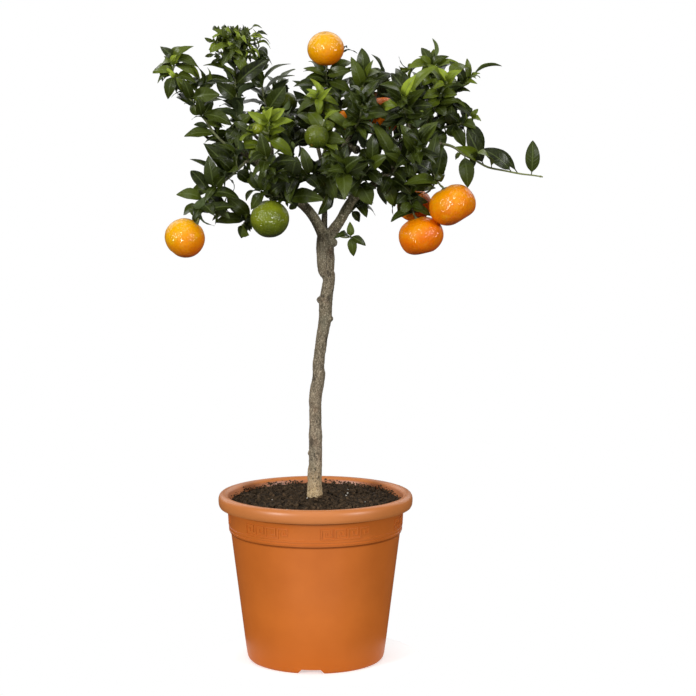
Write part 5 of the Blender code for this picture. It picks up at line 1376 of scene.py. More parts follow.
def varied(leaf, draw):
    """The same leaf, slimmer and rolled about its own length."""
    root, tip, width, normal = leaf
    roll = Matrix.Rotation(math.radians(draw.uniform(-ROLL, ROLL)), 3, (tip - root).normalized())
    return root, tip, width * draw.uniform(*SLIMMER), roll @ normal


def tangle(shoot, leaves, draw):
    """Turns the end leaves of a stem into thin side shoots with small curled leaves."""
    kept, routes = [], []
    for leaf in leaves:
        root, tip, _, normal = leaf
        if nearest_share(shoot, root) < HEADS[shoot.name]:
            kept.append(leaf)
            continue
        sway = Vector((draw.uniform(-1, 1), draw.uniform(-1, 1), draw.uniform(0, 1))) * 1.5
        end = root.lerp(tip, 0.72)
        routes.append([root, root.lerp(end, 0.5) + sway, end])
        ahead = (tip - root).normalized()
        first = across(ahead, normal)
        second = ahead.cross(first)
        for index in range(HEAD_LEAVES):
            start = root.lerp(end, (index + 1) / HEAD_LEAVES)
            turn, lean = index * TURN + draw.uniform(-0.6, 0.6), math.radians(draw.uniform(30, 68))
            if index == HEAD_LEAVES - 1:
                lean = 0.12
            out = spoke(first, second, turn)
            heading = spoke(ahead, out, lean).normalized()
            length = draw.uniform(*HEAD_LEAF)
            if inside_box(start + heading * length):
                face = (out * -0.6 + ahead + Vector((0, -0.6, 0.3))).normalized()
                kept.append((start, start + heading * length, length * HEAD_WIDTH, face))
    return kept, routes


def extra_leaves(plan, solid_space):
    """The finer model's own leaves: drawn ones, those of side shoots, and more set by the rule.

    Returns the side shoots' routes by stem."""
    space = CloseSpace()
    space.things, space.balls = solid_space.things, solid_space.balls
    draw = random.Random(SEED + 1)
    sides = {shoot.name: [] for shoot in SHOOTS}

    def keep(name, leaf):
        plan[name].append(leaf)
        space.add(name, *blade_mesh(*leaf))

    def keep_ruled(name, leaf):
        if leaf and inside_box(leaf[1]):
            along = [leaf[0].lerp(leaf[1], share) for share in (1.0, 0.8, 0.6, 0.4)]
            if not hides(along, FINE_SKY, FINE_WINDOWS):
                keep(name, varied(leaf, draw))

    for shoot in SHOOTS:
        if shoot.name in HEADS:
            plan[shoot.name], sides[shoot.name] = tangle(shoot, plan[shoot.name], draw)
        for row in MORE_LEAVES.get(shoot.name, ()):
            leaf = drawn_leaf(shoot.name, row, stem_route(shoot), space)
            if leaf and inside_box(leaf[1]):
                keep(shoot.name, leaf)
    for name, share, end, fill in SIDE_SHOOTS:
        shoot = next(s for s in SHOOTS if s.name == name)
        route = side_route(shoot, share, end)
        if any((p - centre).length < radius + 1 for p in smooth(route, 6) for centre, radius in space.balls):
            continue
        sides[name].append(route)
        space.add(name, *tube_cage(route, [SIDE_STEM_R] * 3))
        for index in range(fill[0]):
            keep_ruled(name, ruled_leaf(name, index, route, fill, draw, space))
    for portion, start, length in PASSES:
        for shoot in SHOOTS:
            count = round(EXTRA[shoot.name] * portion)
            scale = length * (0.7 if YOUTH.get(shoot.name, OLD)[1] > 0.6 else 1.0)
            for index in range(count):
                fill = (count, start, scale * draw.uniform(0.8, 1.1))
                keep_ruled(shoot.name, ruled_leaf(shoot.name, index, stem_route(shoot), fill, draw, space))
    return sides


def bud_shape(place, heading, length, draw):
    """A pointed new shoot at a stem's tip."""
    route = [place + heading * length * t for t in (0, 0.25, 0.55, 0.8, 1.0)]
    side = Vector((draw.uniform(-1, 1), draw.uniform(-1, 1), 0.3)) * length * 0.08
    route[2] += side
    return tube_shape(route, [0.9, 1.3, 1.1, 0.6, 0.12], 8)


def star_shape(place, normal, radius, lobes, thick):
    """A thin closed rosette with rounded lobes, such as a fruit's green calyx."""
    first = across(normal, Vector((0.2, 0.9, 0.1)))
    second = normal.cross(first)
    around = lobes * 6
    points, faces = [place + normal * thick, place - normal * thick], []
    inner, outer = 0.55, 1.0
    for level, reach in ((1, inner), (1, outer), (-1, outer), (-1, inner)):
        for turn in turns(around):
            lobe = 0.9 if reach == inner else 0.72 + 0.28 * math.cos(lobes * turn)
            out = radius * reach * lobe
            height = thick * (0.6 if reach == inner else 0.25) * level - radius * 0.12 * reach ** 2
            points.append(place + spoke(first, second, turn) * out + normal * height)
    for k in range(around):
        j = (k + 1) % around
        faces.append((0, 2 + k, 2 + j))
        faces.append((1, 2 + 3 * around + j, 2 + 3 * around + k))
        for ring in range(3):
            a = 2 + ring * around
            b = a + around
            faces.append((a + k, b + k, b + j, a + j))
    return np.array(points), faces


def fruits_of(name):
    return [fruit for fruit in FRUITS if fruit.stem == name]


# The box of the solids in millimetres from the pot's axis, drawn in by a hair
BOX_ENDS = tuple(
    np.array(end) / MM - np.array(ORIGIN_SHIFT) - step for end, step in zip(cad_box, (-0.1, 0.1))
)


# Sides of stems, stalks and side shoots, the bud at a stem's tip, and the calyx on a fruit: its lobes
# and how thick it is
STEM_SIDES = 10
SIDE_STEM_SIDES = 8
BUD_SUNK = 4.6
BUD_LENGTH = 4.5
CALYX_LOBES = 5
CALYX_THICK = 0.75


def make_sprays(plan, sides, materials):
    """One piece for each leafy stem: its stem, buds, fruit stalks with their calyxes, and leaves."""
    draw = random.Random(SEED + 2)
    plain = (0, 0.5, 0.5)
    for shoot in SHOOTS:
        batch = Batch()
        route = smooth(shoot.stem, 4)
        shares = steps(len(route))
        points, faces = tube_shape(route, tapered(len(route), STEM_R + 0.1, STEM_TIP_R * 0.8), STEM_SIDES)
        low, high = YOUTH.get(shoot.name, OLD)
        tones = np.zeros((len(points), 3))
        tones[:, 0] = np.repeat([low + (high - low) * s for s in shares], STEM_SIDES)
        tones[:, 2] = 0.5
        marks = np.zeros((len(points), 3))
        marks[:, 1] = np.repeat(shares, STEM_SIDES)
        batch.add(np.clip(points, *BOX_ENDS), faces, marks, tones, 1)
        tip, ahead = route[-1], (route[-1] - route[-2]).normalized()
        points, faces = bud_shape(tip - ahead * BUD_SUNK, ahead, BUD_LENGTH, draw)
        batch.add(points, faces, (0, 1, 0.5), (max(high, 0.4), 0, 0.5), 1)
        for fruit in fruits_of(shoot.name):
            stalk = smooth(stalk_route(fruit, shoot), 5)
            sizes = tapered(len(stalk), STALK_R, STALK_R * 1.15)
            batch.tube(stalk, sizes, STEM_SIDES, plain, (0.25, 0, 0.5), 1)
            end, out = stalk_end(fruit)
            wide = 2.0 + fruit.radius * 0.085
            calyx = star_shape(end - out * 0.1, out, wide, CALYX_LOBES, CALYX_THICK)
            batch.add(*calyx, plain, (0.35, 0, 0.5), 1)
        for side in sides[shoot.name]:
            side = smooth(side, 4)
            sizes = tapered(len(side), SIDE_STEM_R, SIDE_STEM_TIP_R)
            batch.tube(side, sizes, SIDE_STEM_SIDES, plain, (0.2, 0, 0.5), 1)
        for root, tip, width, normal in plan[shoot.name]:
            share = nearest_share(shoot, root)
            length = (tip - root).length
            look = look_for(shoot.name, share, draw, tip, length)
            if any(math.hypot(tip.x - x, tip.z - z) < TIP_NEAR for x, z in EDGE_ON):
                flat = abs((tip - root).normalized().z) < 0.6
                normal = Vector((0.1, 0.1, 0.9)) if flat else Vector((0.9, 0.1, 0.1))
                look = look._replace(curl=0.1, fold=0.4)
            grid = PLAIN if length < PLAIN_UNDER else FULL
            points, marks, tones = leaf_points(root, tip, width * WIDER, normal, look, grid)
            batch.add(np.clip(points, *BOX_ENDS), grid.faces, marks, tones)
        piece = batch.build("spray_" + shoot.name, materials)
        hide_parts("leafy_stem_" + shoot.name)
        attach(piece, "root")


# Soft dents that make a fruit look double: where they lie from its middle, depth and reach (radians)
DENTS = {
    "mandarin_right": (
        ((0.57, -0.05, -0.82), -0.11, 0.42), ((-0.52, -0.05, 0.85), -0.05, 0.4),
        ((0.83, -0.05, 0.56), -0.07, 0.45), ((-0.9, -0.05, 0.42), 0.07, 0.4),
        ((0.92, -0.05, -0.38), 0.06, 0.35),
    ),
    "mandarin_low_right": (
        ((0.2, -0.05, -0.97), -0.085, 0.28), ((-0.85, -0.05, 0.5), 0.05, 0.5),
        ((-0.55, -0.05, -0.83), 0.04, 0.3),
    ),
}
# The side of a fruit painted yellower as painted light, where the light falls; the far side is painted deeper
# as painted shade
PAINTED_LIGHT_SIDE = Vector((-0.42, -0.3, 0.86)).normalized()


# A fruit's dimples at stalk and foot and its furrows round the stalk: depth as a share of the radius
# and reach (radians), and for the furrows also their number and how far from the stalk they lie
STALK_DIMPLE = (0.075, 0.2)
FOOT_DIMPLE = (0.055, 0.15)
FURROWS = (0.012, 0.22, 9, 0.32)


def fruit_points(fruit, rings, sides):
    """A mandarin: flattened, furrowed round the stalk, dimpled at both ends, with soft swellings."""
    turn = Vector((0, 0, 1)).rotation_difference(Vector(fruit.stalk))
    centre = Vector(fruit.centre)
    seed = Vector([c * 0.1 for c in fruit.centre])
    (top_deep, top_reach), (foot_deep, foot_reach) = STALK_DIMPLE, FOOT_DIMPLE
    furrow, furrow_reach, furrows, furrow_at = FURROWS
    points, marks = [], []
    for i in range(rings + 1):
        polar = math.pi * i / rings
        for angle in turns(sides if 0 < i < rings else 1):
            out = unit_ball(polar, angle)
            size = 1.0 - top_deep * bell(polar, top_reach) - foot_deep * bell(math.pi - polar, foot_reach)
            size += furrow * math.cos(furrows * angle + seed.x) * bell(polar - furrow_at, furrow_reach)
            size += 0.018 * noise.noise(out * 1.3 + seed) + 0.004 * noise.noise(out * 6 + seed)
            for heading, amount, spread in DENTS.get(fruit.name, ()):
                size += amount * bell((turn @ out).angle(Vector(heading)), spread)
            size += 0.0022 * noise.noise(out * fruit.radius * 0.62 + seed)
            place = turn @ (Vector((out.x, out.y, out.z * fruit.flat)) * size * fruit.radius)
            points.append(centre + place)
            # The second mark is how far a point faces the side painted as light
            marks.append((polar / math.pi, place.normalized().dot(PAINTED_LIGHT_SIDE) * 0.5 + 0.5, 0))
    return points, skin_faces(rings - 1, sides), marks


# How much yellower than the rest a fruit is: partly its own hue and partly painted shade, as the fruits set
# below zero are painted deeper and darker, most of all those hanging in the shade of others
YELLOWER_AND_PAINTED_SHADE = {
    "mandarin_left": 0.35, "mandarin_top": 0.75, "mandarin_right": -0.4, "mandarin_low_right": -0.7,
    "mandarin_inner": -0.9, "mandarin_small": -0.8, "mandarin_back_right": -0.85,
    "green_mandarin_centre": -0.7, "green_mandarin_back": -0.7,
}
# Rings and sides of a fruit's skin
FINE_FRUIT_GRID = (64, 110)
PLAIN_FRUIT_GRID = (36, 60)


def make_fruits(ripe, green):
    for fruit in FRUITS:
        grid = FINE_FRUIT_GRID if fruit.radius > SMALL_FRUIT_R else PLAIN_FRUIT_GRID
        batch = Batch()
        batch.add(*fruit_points(fruit, *grid), (fruit.ripe, 0, YELLOWER_AND_PAINTED_SHADE.get(fruit.name, 0.0)))
        piece = batch.build("skin_" + fruit.name, [ripe if fruit.ripe else green])
        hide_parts(fruit.name)
        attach(piece, "root")


# How far the soft swellings, the fissures and the grain of the bark stand out
BARK_SOFT = 0.35
BARK_STREAK = 0.24
BARK_GRAIN = 0.2


def bark_height(place, girth):
    """How far the bark stands out: long fissures up the stem, finer grain and soft swellings."""
    soft = noise.noise(place / 11.0)
    streak = noise.noise(Vector((place.x / 1.7, place.y / 1.7, place.z / 5.0)))
    grain = noise.noise(Vector((place.x / 1.3, place.y / 1.3, place.z / 1.9)) + Vector((7, 3, 1)))
    return (BARK_SOFT * soft + BARK_STREAK * streak + BARK_GRAIN * grain) * girth


# Voxel size of the wood's skin, how far it is softened, and how far bark stands out on trunk and limbs
WOOD_VOXEL = 1.05
WOOD_SOFTENED = (0.5, 4)
TRUNK_GIRTH = 1.3
LIMB_GIRTH = 0.7
# Old wood round the upright limb
FINE_KNOBS = ((43, -9, 637, 6.0), (50, -10, 631, 5.6), (39, -10, 628, 5.2), (47, -8, 644, 4.6))


# Sides of the tubes that the wood is laid out with
TRUNK_TUBE_SIDES = 24
LIMB_TUBE_SIDES = 18
TWIG_TUBE_SIDES = 12
KNOB_SIDES = 14


def make_wood(materials):
    """Trunk, limbs and twig feet as one skin, remeshed so that the forks flow together."""
    batch = Batch()
    route = [Vector((TRUNK[0][1], 0, TRUNK_FOOT_Z))] + [Vector((x, 0, z)) for z, x, _ in TRUNK]
    batch.add(*smooth_tube(route, [TRUNK_FOOT_R] + [r for _, _, r in TRUNK], TRUNK_TUBE_SIDES))
    for rows in LIMBS.values():
        places = [Vector(row[:3]) for row in rows]
        batch.add(*smooth_tube(places, [row[3] for row in rows], LIMB_TUBE_SIDES))
    for shoot in SHOOTS:
        path = smooth(twig_route(shoot), 4)
        batch.tube(path, tapered(len(path), TWIG_R + 0.3, STEM_R + 0.1), TWIG_TUBE_SIDES)
    for x, y, z, radius in KNOBS + FINE_KNOBS:
        ball = [Vector((x, y, z)) + Vector((0, 0, radius * rise)) for rise in (-1, -0.6, 0, 0.6, 1)]
        batch.tube(ball, [radius * share for share in (0.3, 0.8, 1.0, 0.8, 0.3)], KNOB_SIDES)
    piece = batch.build("tree_wood", materials)
    remesh = piece.modifiers.new("remesh", "REMESH")
    remesh.mode = "VOXEL"
    remesh.voxel_size = WOOD_VOXEL * MM
    soften = piece.modifiers.new("soften", "SMOOTH")
    soften.factor, soften.iterations = WOOD_SOFTENED
    freeze(piece)
    mesh = piece.data
    count = len(mesh.vertices)
    places, normals, marks = np.empty(count * 3), np.empty(count * 3), np.zeros((count, 3))
    mesh.vertices.foreach_get("co", places)
    mesh.vertex_normals.foreach_get("vector", normals)
    places, normals = places.reshape(-1, 3), normals.reshape(-1, 3)
    shift = np.array(ORIGIN_SHIFT)
    for i in range(count):
        spot = Vector(places[i] / MM - shift)
        height = bark_height(spot, TRUNK_GIRTH if spot.z < TRUNK[-1][0] + 10 else LIMB_GIRTH)
        places[i] += normals[i] * height * MM
        marks[i] = (height + 0.5, min(1.0, spot.z / 600.0), 0)
    mesh.vertices.foreach_set("co", places.ravel())
    carry(mesh, "mark", marks)
    mesh.update()
    mesh.shade_smooth()
    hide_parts("trunk_and_limbs")
    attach(piece, "root")


# Two thin ridges under the band's key: lower and upper edge of each, and how far they stand out
RIDGES = ((166.4, 168.6), (163.4, 164.3))
RIDGE_OUT = 0.7
# A narrow groove under the band's lower edge
GROOVE_IN = 1.1
FINE_POT_STEPS = 160


def fine_pot_profile():
    """The pot's section with rounded edges and the two thin ridges under its key band."""
    inside = pot_wall_r(POT_FLOOR_TOP) - POT_WALL
    band_inside = pot_wall_r(BAND_FOOT) - POT_WALL
    rim_inside = BAND_R - POT_WALL
    band_foot_r = BAND_R - BAND_DRAFT * (BAND_TOP - BAND_FOOT)
    ring_out, ring_in = FOOT_RING_R

    def band_r(z):
        return BAND_R - BAND_DRAFT * (BAND_TOP - z)

    ridges = []
    for low, high in RIDGES:
        ridges += [
            (band_r(high + 0.35), high + 0.35), (band_r(high) + RIDGE_OUT, high - 0.1),
            (band_r(low) + RIDGE_OUT, low + 0.1), (band_r(low - 0.35), low - 0.35),
        ]
    return [
        (0, POT_FLOOR_TOP), (inside - POT_CORNER, POT_FLOOR_TOP), (inside - 0.9, POT_FLOOR_TOP + 0.9),
        (inside, POT_FLOOR_TOP + POT_CORNER), (band_inside, BAND_FOOT), (rim_inside, BAND_TOP),
        (107.2, 200.5), INNER_RIM, (108.9, 205.8), (110.5, 207.3), (112, 208.1), (113.5, POT_HEIGHT),
        (115.3, 208.1), (117, 207.5), (118.4, 206.3), (119.4, 204.5), (119.9, 202.4), (POT_RIM_R, 200.2),
        (119.9, 197.6), (119.6, 195.1), (119.0, 193.4), (118.2, 192.0), (117.4, 191.7), (116.6, 192.2),
        (116.2, 193.6), (110.6, 193.6), (109.4, 192.6), (109.0, 191.2), (BAND_R, 189.6),
    ] + ridges + [
        (band_foot_r, BAND_FOOT + 0.7), (band_foot_r - 0.25, BAND_FOOT + 0.1),
        (pot_wall_r(BAND_FOOT) - GROOVE_IN, BAND_FOOT),
        (pot_wall_r(BAND_FOOT - 1.2) - GROOVE_IN, BAND_FOOT - 1.0),
        (pot_wall_r(BAND_FOOT - 1.9), BAND_FOOT - 1.9),
        (pot_wall_r(120), 120), (pot_wall_r(60), 60), (pot_wall_r(18), 18), (86.0, 11.5), (85.3, 7.1),
        (84.6, 4.2), (83.5, 2.3), (82.0, 0.8), (ring_out, 0), (ring_in, 0), (ring_in - 0.4, 0.5),
        (ring_in - 0.6, FOOT_RECESS), (0, FOOT_RECESS),
    ]


# Greek key: its foot and top, unit width, line width, relief, and the groups round the band
KEY_FOOT_Z = 170.9
KEY_TOP_Z = 182.6
KEY_UNIT = 16.2
KEY_LINE = 1.7
KEY_OUT = 1.0
KEY_SUNK = 0.4
KEY_SLOPE = 0.22
KEY_STEP = 2.4
KEY_GROUP_CENTRES = tuple(math.radians(-90 + angle) for angle in (-33.5, 21, 81, 141, 201, 266))
KEY_UNITS = 4
# One unit of the key on a grid of 6 by 6: a line that turns in on itself and goes on
KEY_PATH = ((0, 0), (0, 6), (5, 6), (5, 2), (2.5, 2), (2.5, 4))
KEY_JOIN = ((0, 0), (6.6, 0))


def make_pot(materials):
    """The pot with rounded rim, notched foot and drain holes."""
    piece = turned("pot_shell", fine_pot_profile(), FINE_POT_STEPS)
    tools = [notch_cutter(NOTCH_FRONT_ANGLE + turn) for turn in turns(NOTCH_COUNT)]
    tools += [drain_cutter((i + 0.5) * 2 * math.pi / DRAIN_COUNT) for i in range(DRAIN_COUNT)]
    for tool in tools:
        cut_by(piece, tool)
    freeze(piece)
    for tool in tools:
        mesh = tool.data
        bpy.data.objects.remove(tool)
        bpy.data.meshes.remove(mesh)
    mesh = piece.data
    mesh.transform(piece.matrix_world)
    piece.matrix_world = Matrix.Identity(4)
    mesh.materials.clear()
    mesh.materials.append(materials[0])
    marks = []
    for vertex in mesh.vertices:
        spot = vertex.co / MM - ORIGIN_SHIFT
        out = math.hypot(spot.x, spot.y)
        dusty = out < inner_wall_r(spot.z) + 0.6 and SOIL_EDGE_Z - 8 < spot.z < INNER_RIM[1] + 1
        # The rim's face, which the material paints paler as painted sheen
        painted_sheen_rim = spot.z > BAND_TOP - 0.1 and out > INNER_RIM[0] + 0.5
        marks.append((dusty, painted_sheen_rim, 0))
    carry(mesh, "mark", marks)
    mesh.shade_smooth()
    mesh.set_sharp_from_angle(angle=math.radians(38))
    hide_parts("pot")
    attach(piece, "root")


def key_strokes():
    """The straight strokes of one group of the key: left, right, lower and upper edge of each."""
    grid = (KEY_TOP_Z - KEY_FOOT_Z) / 6
    span = KEY_UNIT / 6.6
    half = KEY_LINE / 2
    strokes = []
    for unit in range(KEY_UNITS):
        first = (unit - KEY_UNITS / 2) * KEY_UNIT
        lines = list(zip(KEY_PATH, KEY_PATH[1:]))
        if unit < KEY_UNITS - 1:
            lines.append(KEY_JOIN)
        for ends in lines:
            xs = [first + x * span for x, _ in ends]
            zs = [z * grid for _, z in ends]
            edges = (min(xs) - half, max(xs) + half, min(zs) - half, max(zs) + half)
            strokes.append(tuple(round(edge, 4) for edge in edges))
    return strokes


def key_group(batch, centre_angle, strokes):
    """One group of the key as one closed relief bent round the band, its top narrower than its foot."""
    edges = sorted({edge for stroke in strokes for edge in stroke[:2]})
    xs = [edges[0]]
    for start, end in zip(edges, edges[1:]):
        cuts = max(1, math.ceil((end - start) / KEY_STEP))
        xs += [start + (end - start) * (i + 1) / cuts for i in range(cuts)]
    zs = sorted({edge for stroke in strokes for edge in stroke[2:]})
    filled = set()
    for i, j in ((i, j) for i in range(len(xs) - 1) for j in range(len(zs) - 1)):
        x, z = (xs[i] + xs[i + 1]) / 2, (zs[j] + zs[j + 1]) / 2
        if any(left < x < right and low < z < high for left, right, low, high in strokes):
            filled.add((i, j))
    points, faces, numbers = [], [], {}

    def corner(i, j, top):
        if (i, j, top) not in numbers:
            below_left, below_right, above_left, above_right = (
                spot in filled for spot in ((i - 1, j - 1), (i, j - 1), (i - 1, j), (i, j))
            )
            right = below_right + above_right - below_left - above_left
            above = above_left + above_right - below_left - below_right
            inset = KEY_SLOPE * top
            x = xs[i] + inset * ((right > 0) - (right < 0))
            z = KEY_FOOT_Z + zs[j] + inset * ((above > 0) - (above < 0))
            r = BAND_R - BAND_DRAFT * (BAND_TOP - z) + (KEY_OUT if top else -KEY_SUNK)
            angle = centre_angle + x / BAND_R
            numbers[i, j, top] = len(points)
            points.append((r * math.cos(angle), r * math.sin(angle), z))
        return numbers[i, j, top]

    for i, j in sorted(filled):
        ring = ((i, j), (i + 1, j), (i + 1, j + 1), (i, j + 1))
        faces.append(tuple(corner(*spot, True) for spot in ring))
        faces.append(tuple(corner(*spot, False) for spot in reversed(ring)))
        for k, beside in enumerate(((i, j - 1), (i + 1, j), (i, j + 1), (i - 1, j))):
            if beside not in filled:
                start, end = ring[k], ring[(k + 1) % 4]
                spots = ((*start, False), (*end, False), (*end, True), (*start, True))
                faces.append(tuple(corner(*spot) for spot in spots))
    batch.add(points, faces)


def make_key(materials):
    """The moulded Greek key: groups of turned-in lines round the band, with plain gaps between."""
    batch = Batch()
    strokes = key_strokes()
    for centre in KEY_GROUP_CENTRES:
        key_group(batch, centre, strokes)
    piece = batch.build("pot_key_relief", [materials[0]], 25.0)
    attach(piece, "root")


# The soil's radius, how much higher it lies at the back, and the grid of its top
SOIL_R = 107.0
SOIL_BACK_RISE = 3.8
SOIL_GRID_RINGS = 105
SOIL_GRID_SIDES = 300
# The hidden rings of its body, radius and height, and its lowest point
SOIL_LOW_RINGS = ((BAND_R - POT_WALL - 3, 160.0), (60.0, 150.0))
SOIL_BOTTOM = (0, 0, 148.0)


# Heaps on the soil: height and width of each kind, and how far from the wall they die out
HEAPS = ((1.9, 17.0), (1.4, 7.0))
HEAP_FADE = 6.0
# How high clods and crumbs stand, and how wide they are
CLOD_HIGH = 3.0
CLOD_WIDE = 5.6
CRUMB_HIGH = 1.2
CRUMB_WIDE = 2.1


def soil_height(x, y):
    """The soil's top: a low mound, heaps and hollows, and rounded crumbs of two sizes."""
    r = math.hypot(x, y)
    base = SOIL_EDGE_Z + (SOIL_MOUND_Z - SOIL_EDGE_Z) * bell(r, SOIL_MOUND_SPREAD)
    base += SOIL_BACK_RISE * max(0.0, y / SOIL_R) ** 1.5
    spot = Vector((x, y, 0.0))
    heap = sum(high * noise.noise(spot / wide) for high, wide in HEAPS)
    fade = min(1.0, max(0.0, (SOIL_R - r) / HEAP_FADE))
    clod, crumb = soil_grain(x, y)
    return base + heap * fade + (0.42 - clod) * CLOD_HIGH * fade + (0.4 - crumb) * CRUMB_HIGH


def soil_grain(x, y):
    """How far a place on the soil lies from the middle of its clod and of its crumb."""
    spot = Vector((x, y, 0.0))
    spot += 1.2 * Vector((noise.noise(spot / 3.0), noise.noise(spot / 3.0 + Vector((9, 2, 0))), 0.0))
    clod = noise.voronoi(spot / (CLOD_WIDE + 1.6 * noise.noise(spot / 22.0)))[0][0]
    crumb = noise.voronoi(spot / CRUMB_WIDE + Vector((5, 5, 0)))[0][0]
    return clod, crumb


def inner_wall_r(z):
    """The radius of the pot's inside between band and rim."""
    wide = BAND_R - POT_WALL
    return wide + (z - BAND_TOP) / (INNER_RIM[1] - BAND_TOP) * (INNER_RIM[0] - wide)


def soil_edge_z(turn):
    """The soil's height along the pot's wall."""
    return SOIL_EDGE_Z + SOIL_BACK_RISE * max(0.0, math.sin(turn)) ** 1.5


def make_soil(materials):
    """The soil's rough top with its closed body below, as one skin."""
    points, marks = [(0, 0, soil_height(0, 0))], [(0, 0, 0)]
    for i in range(1, SOIL_GRID_RINGS + 1):
        for turn in turns(SOIL_GRID_SIDES):
            r = (inner_wall_r(soil_edge_z(turn)) - CLEAR_GAP) * i / SOIL_GRID_RINGS
            x, y = r * math.cos(turn), r * math.sin(turn)
            points.append((x, y, soil_height(x, y)))
            # How far from the middles of its clod and crumb a point lies, which the soil's colour darkens as
            # painted shade
            marks.append((min(1.0, sum(soil_grain(x, y)) * 0.6), 0, 0))
    for r, z in SOIL_LOW_RINGS:
        points += [(r * math.cos(turn), r * math.sin(turn), z) for turn in turns(SOIL_GRID_SIDES)]
    points.append(SOIL_BOTTOM)
    marks += [(0, 0, 0)] * (len(points) - len(marks))
    batch = Batch()
    batch.add(points, skin_faces(SOIL_GRID_RINGS + len(SOIL_LOW_RINGS), SOIL_GRID_SIDES), marks)
    piece = batch.build("soil_body", [materials[0]])
    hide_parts("soil")
    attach(piece, "root")


def rock_shape(place, size, draw):
    """A small uneven lump."""
    ball = bmesh.new()
    bmesh.ops.create_icosphere(ball, subdivisions=1, radius=1.0)
    stretch = Vector((draw.uniform(0.7, 1.4), draw.uniform(0.7, 1.4), draw.uniform(0.5, 1.0)))
    angle = draw.uniform(0, 6.28)
    axis = Vector((draw.uniform(-1, 1), draw.uniform(-1, 1), 1)).normalized()
    turn = Matrix.Rotation(angle, 3, axis)
    points = []
    for vertex in ball.verts:
        out = vertex.co * size * draw.uniform(0.72, 1.15)
        points.append(place + turn @ Vector((out.x * stretch.x, out.y * stretch.y, out.z * stretch.z)))
    faces = [tuple(v.index for v in face.verts) for face in ball.faces]
    ball.free()
    return points, faces


# How many crumbs, fibres and specks lie on the soil, and how far out each kind reaches
CRUMBS = 2600
CRUMB_REACH = 104.0
FIBRES = 170
FIBRE_REACH = 100.0
FIBRE_END_REACH = 103
SPECKS = 14
SPECK_REACH = 98.0
SMEAR_CRUMBS = 620
# Where soil is left on the wall: middle and spread of each patch (degrees), and the spread upward
SMEARS = ((38, 16), (78, 30), (130, 18))
SMEAR_UP = 2.2
# Radii of a fibre from end to end
FIBRE_RADII = (0.16, 0.3, 0.34, 0.28, 0.14)


def soil_spot(reach, draw):
    """A random place on the soil, even over its disc."""
    r = reach * math.sqrt(draw.random())
    turn = draw.uniform(0, 2 * math.pi)
    return r * math.cos(turn), r * math.sin(turn)


def fibre_route(draw):
    """A bent fibre that lies loosely on the soil."""
    spot_x, spot_y = soil_spot(FIBRE_REACH, draw)
    heading = draw.uniform(0, 2 * math.pi)
    length = draw.uniform(4, 15)
    bend = draw.uniform(-0.5, 0.5)
    route = []
    for share in steps(len(FIBRE_RADII)):
        t = (share - 0.5) * length
        x = spot_x + t * math.cos(heading) - bend * t * t / length * math.sin(heading)
        y = spot_y + t * math.sin(heading) + bend * t * t / length * math.cos(heading)
        route.append(Vector((x, y, soil_height(x, y) + 0.8 + draw.uniform(0, 0.5))))
    return route


def make_crumbs(materials):
    """Loose crumbs, fibres and pale specks on the soil, and soil left on the inside of the rim."""
    draw = random.Random(SEED + 3)
    batch = Batch()
    for _ in range(CRUMBS):
        x, y = soil_spot(CRUMB_REACH, draw)
        size = 0.5 + 2.9 * draw.random() ** 4
        place = Vector((x, y, soil_height(x, y) + size * 0.25))
        points, faces = rock_shape(place, size, draw)
        batch.add(points, faces, (0, 0, draw.random()), (draw.random() ** 3 * 0.7, 0, 0))
    for _ in range(SMEAR_CRUMBS):
        turn = math.radians(draw.choice([draw.gauss(*patch) for patch in SMEARS]))
        z = soil_edge_z(turn) + abs(draw.gauss(0, SMEAR_UP))
        if z > INNER_RIM[1] + 1.5:
            continue
        r = inner_wall_r(z) - 0.35
        place = Vector((r * math.cos(turn), r * math.sin(turn), z))
        points, faces = rock_shape(place, 0.35 + 1.3 * draw.random() ** 3, draw)
        batch.add(points, faces, (0, 0, draw.random()), (draw.random() * 0.5, 0, 0))
    for _ in range(FIBRES):
        route = fibre_route(draw)
        if max(math.hypot(p.x, p.y) for p in route) <= FIBRE_END_REACH:
            marks = (0, 0, draw.random())
            batch.tube(route, FIBRE_RADII, 5, marks, (draw.uniform(0.5, 1.0), 0, 0))
    for _ in range(SPECKS):
        x, y = soil_spot(SPECK_REACH, draw)
        points, faces = rock_shape(Vector((x, y, soil_height(x, y) + 0.7)), draw.uniform(0.7, 1.5), draw)
        batch.add(points, faces, (0, 0, 0.5), (0, 1, 0))
    piece = batch.build("soil_crumbs", [materials[0]], 50.0)
    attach(piece, "root")


